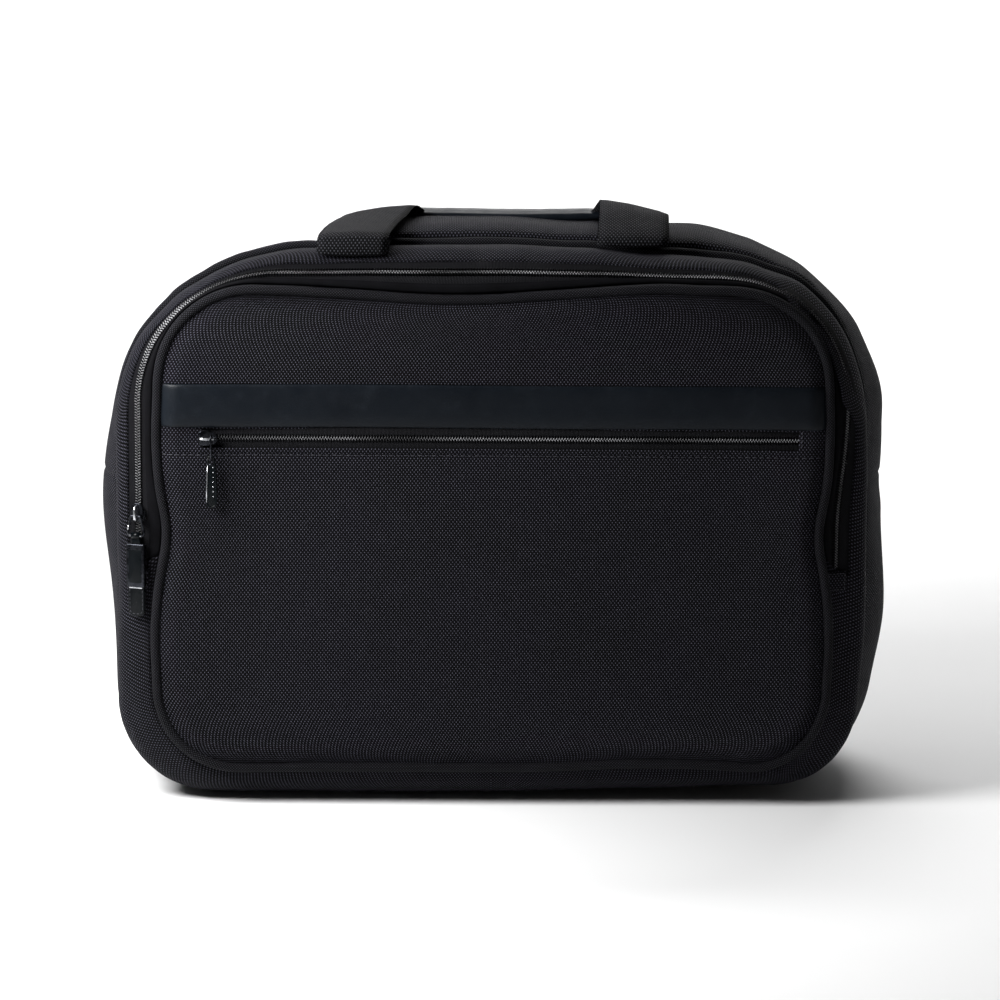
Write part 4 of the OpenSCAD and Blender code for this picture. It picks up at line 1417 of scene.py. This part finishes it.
def padded_grip(name, x0, x1, centre, sag, flat=False):
    """Leather sleeve round a soft core: crowned, with sewn flat edges and drawn-in ends."""
    def drop(x):
        return sag * (1 - (2 * (x - x0) / (x1 - x0) - 1) ** 2)

    xs = spread(x0, x1, 2.5)
    around = 28
    rings = []
    for x in xs:
        full = 0.80 + 0.20 * smooth(min(x - x0, x1 - x), 0, 12)
        ring = []
        for c, s in circle(1, around):
            a = 11.0 * signed(c) * abs(c) ** 0.75
            b = 3.7 * full * signed(s) * abs(s) ** 0.85
            b += 0.16 * rumple(x, a, b, 9, 60.0) + 0.25 * rumple(x, a, b, 30, 61.0)
            b -= signed(s) * 0.45 * bump(abs(a), 8.6, 0.8)
            ring.append((x, a, b - drop(x)))
        rings.append(ring)
    parts = [tube(name, rings, HIDE, xs, range(around + 1))]
    for edge in (-8.6, 8.6):
        line = [(x, edge, 2.15 - drop(x)) for x in spread(x0 + 5, x1 - 5, 4)]
        parts.append(stitches(f"{name}_seam_{edge}", line, upward, 2.4, 1.1, 0.26))
    obj = join(name, parts)
    move = Matrix.Translation([c * MM for c in centre])
    if flat:
        move = move @ Matrix.Rotation(math.radians(-90), 4, "X")
    obj.data.transform(move)
    return obj


front_grip = padded_grip("front_grip_leather", -51, 62, (0, 30, 312.6), 1.0)
piece(front_grip, "front_handle", "leather", "front_handle_grip")
rear_grip = padded_grip("rear_grip_leather", -53, 53, (0, 80.6, 216), 0, flat=True)
piece(rear_grip, "rear_handle", "leather", "rear_handle_grip")

for side, label in ((-1, "left"), (1, "right")):
    knots = [(side * 79, 76.6, 298.0, 38, 0), (side * 79, 78.0, 292.0, 38, 0),
             (side * 78, 79.2, 284, 38, 0), (side * 74, 80.4, 262, 38, 0),
             (side * 66, 80.8, 240, 32, 0), (side * 57, 80.8, 219, 25, 0)]
    strap("rear", label, knots, REAR_SWING)


# --- Floor, light and camera
def backdrop():
    """Pale paper: flat under the bag, then curving up into a wall behind it."""
    s = Shader("pale_backdrop")
    pale, paler = (0.84, 0.84, 0.84), (0.88, 0.88, 0.88)
    paper = s.finish(s.mix(s.scale(s.noise(s.place, 300, 2), 0.3, 0.7), pale, paler), 0.8)
    bend = [(0, 2400 + 900 * math.sin(math.radians(a)), 900 - 900 * math.cos(math.radians(a)))
            for a in range(0, 91, 6)]
    side_view = [(0, -4200, 0), (0, 2400, 0)] + bend[1:] + [(0, 3300, 4200)]
    verts = [(x, y, z - 0.6) for x in (-5200, 5200) for _, y, z in side_view]
    n = len(side_view)
    faces = [[k, k + 1, n + k + 1, n + k] for k in range(n - 1)]
    obj = mesh_object("studio_backdrop", verts, faces, paper)
    orient(obj, lambda x, y, z: (0, -1, 1))


def area_light(name, at, target, size, power):
    data = bpy.data.lights.new(name, "AREA")
    data.shape = "DISK"
    data.size = size
    data.energy = power
    obj = bpy.data.objects.new(name, data)
    obj.location = at
    obj.rotation_euler = (Vector(target) - Vector(at)).to_track_quat("-Z", "Y").to_euler()
    bpy.context.scene.collection.objects.link(obj)


backdrop()
area_light("key", (-0.44, -0.28, 0.48), (-0.12, -0.06, 0.17), 0.32, 7.6)
area_light("overhead", (-0.5, 0.2, 2.1), (-0.1, 0, 0), 1.6, 8)
area_light("wall_wash", (0.2, 1.6, 2.6), (0, 3.0, 0.5), 1.8, 105)

world = bpy.data.worlds.new("studio")
bpy.context.scene.world = world
world.use_nodes = True
sky = world.node_tree.nodes["Background"]
sky.inputs["Color"].default_value = (1, 1, 1, 1)
sky.inputs["Strength"].default_value = 0.035
bpy.context.scene.view_settings.view_transform = "Standard"

AZIMUTH, ELEVATION, ROLL = math.radians(0.60), math.radians(9.82), math.radians(0.41)
TARGET, DISTANCE, SENSOR = Vector((0.0045, 0, 0.155)), 1.8, 36
level = math.cos(ELEVATION)
forward_axis = Vector((math.sin(AZIMUTH) * level, math.cos(AZIMUTH) * level, -math.sin(ELEVATION)))
right_axis = Vector((math.cos(AZIMUTH), -math.sin(AZIMUTH), 0))
up_axis = right_axis.cross(forward_axis)
right_axis, up_axis = (right_axis * math.cos(ROLL) + up_axis * math.sin(ROLL),
                       up_axis * math.cos(ROLL) - right_axis * math.sin(ROLL))
camera_data = bpy.data.cameras.new("camera")
camera_data.sensor_width = SENSOR
camera_data.lens = 3.217 * SENSOR
camera = bpy.data.objects.new("camera", camera_data)
basis = Matrix((right_axis, up_axis, -forward_axis)).transposed().to_4x4()
camera.matrix_world = Matrix.Translation(TARGET - forward_axis * DISTANCE) @ basis
bpy.context.scene.collection.objects.link(camera)
bpy.context.scene.camera = camera
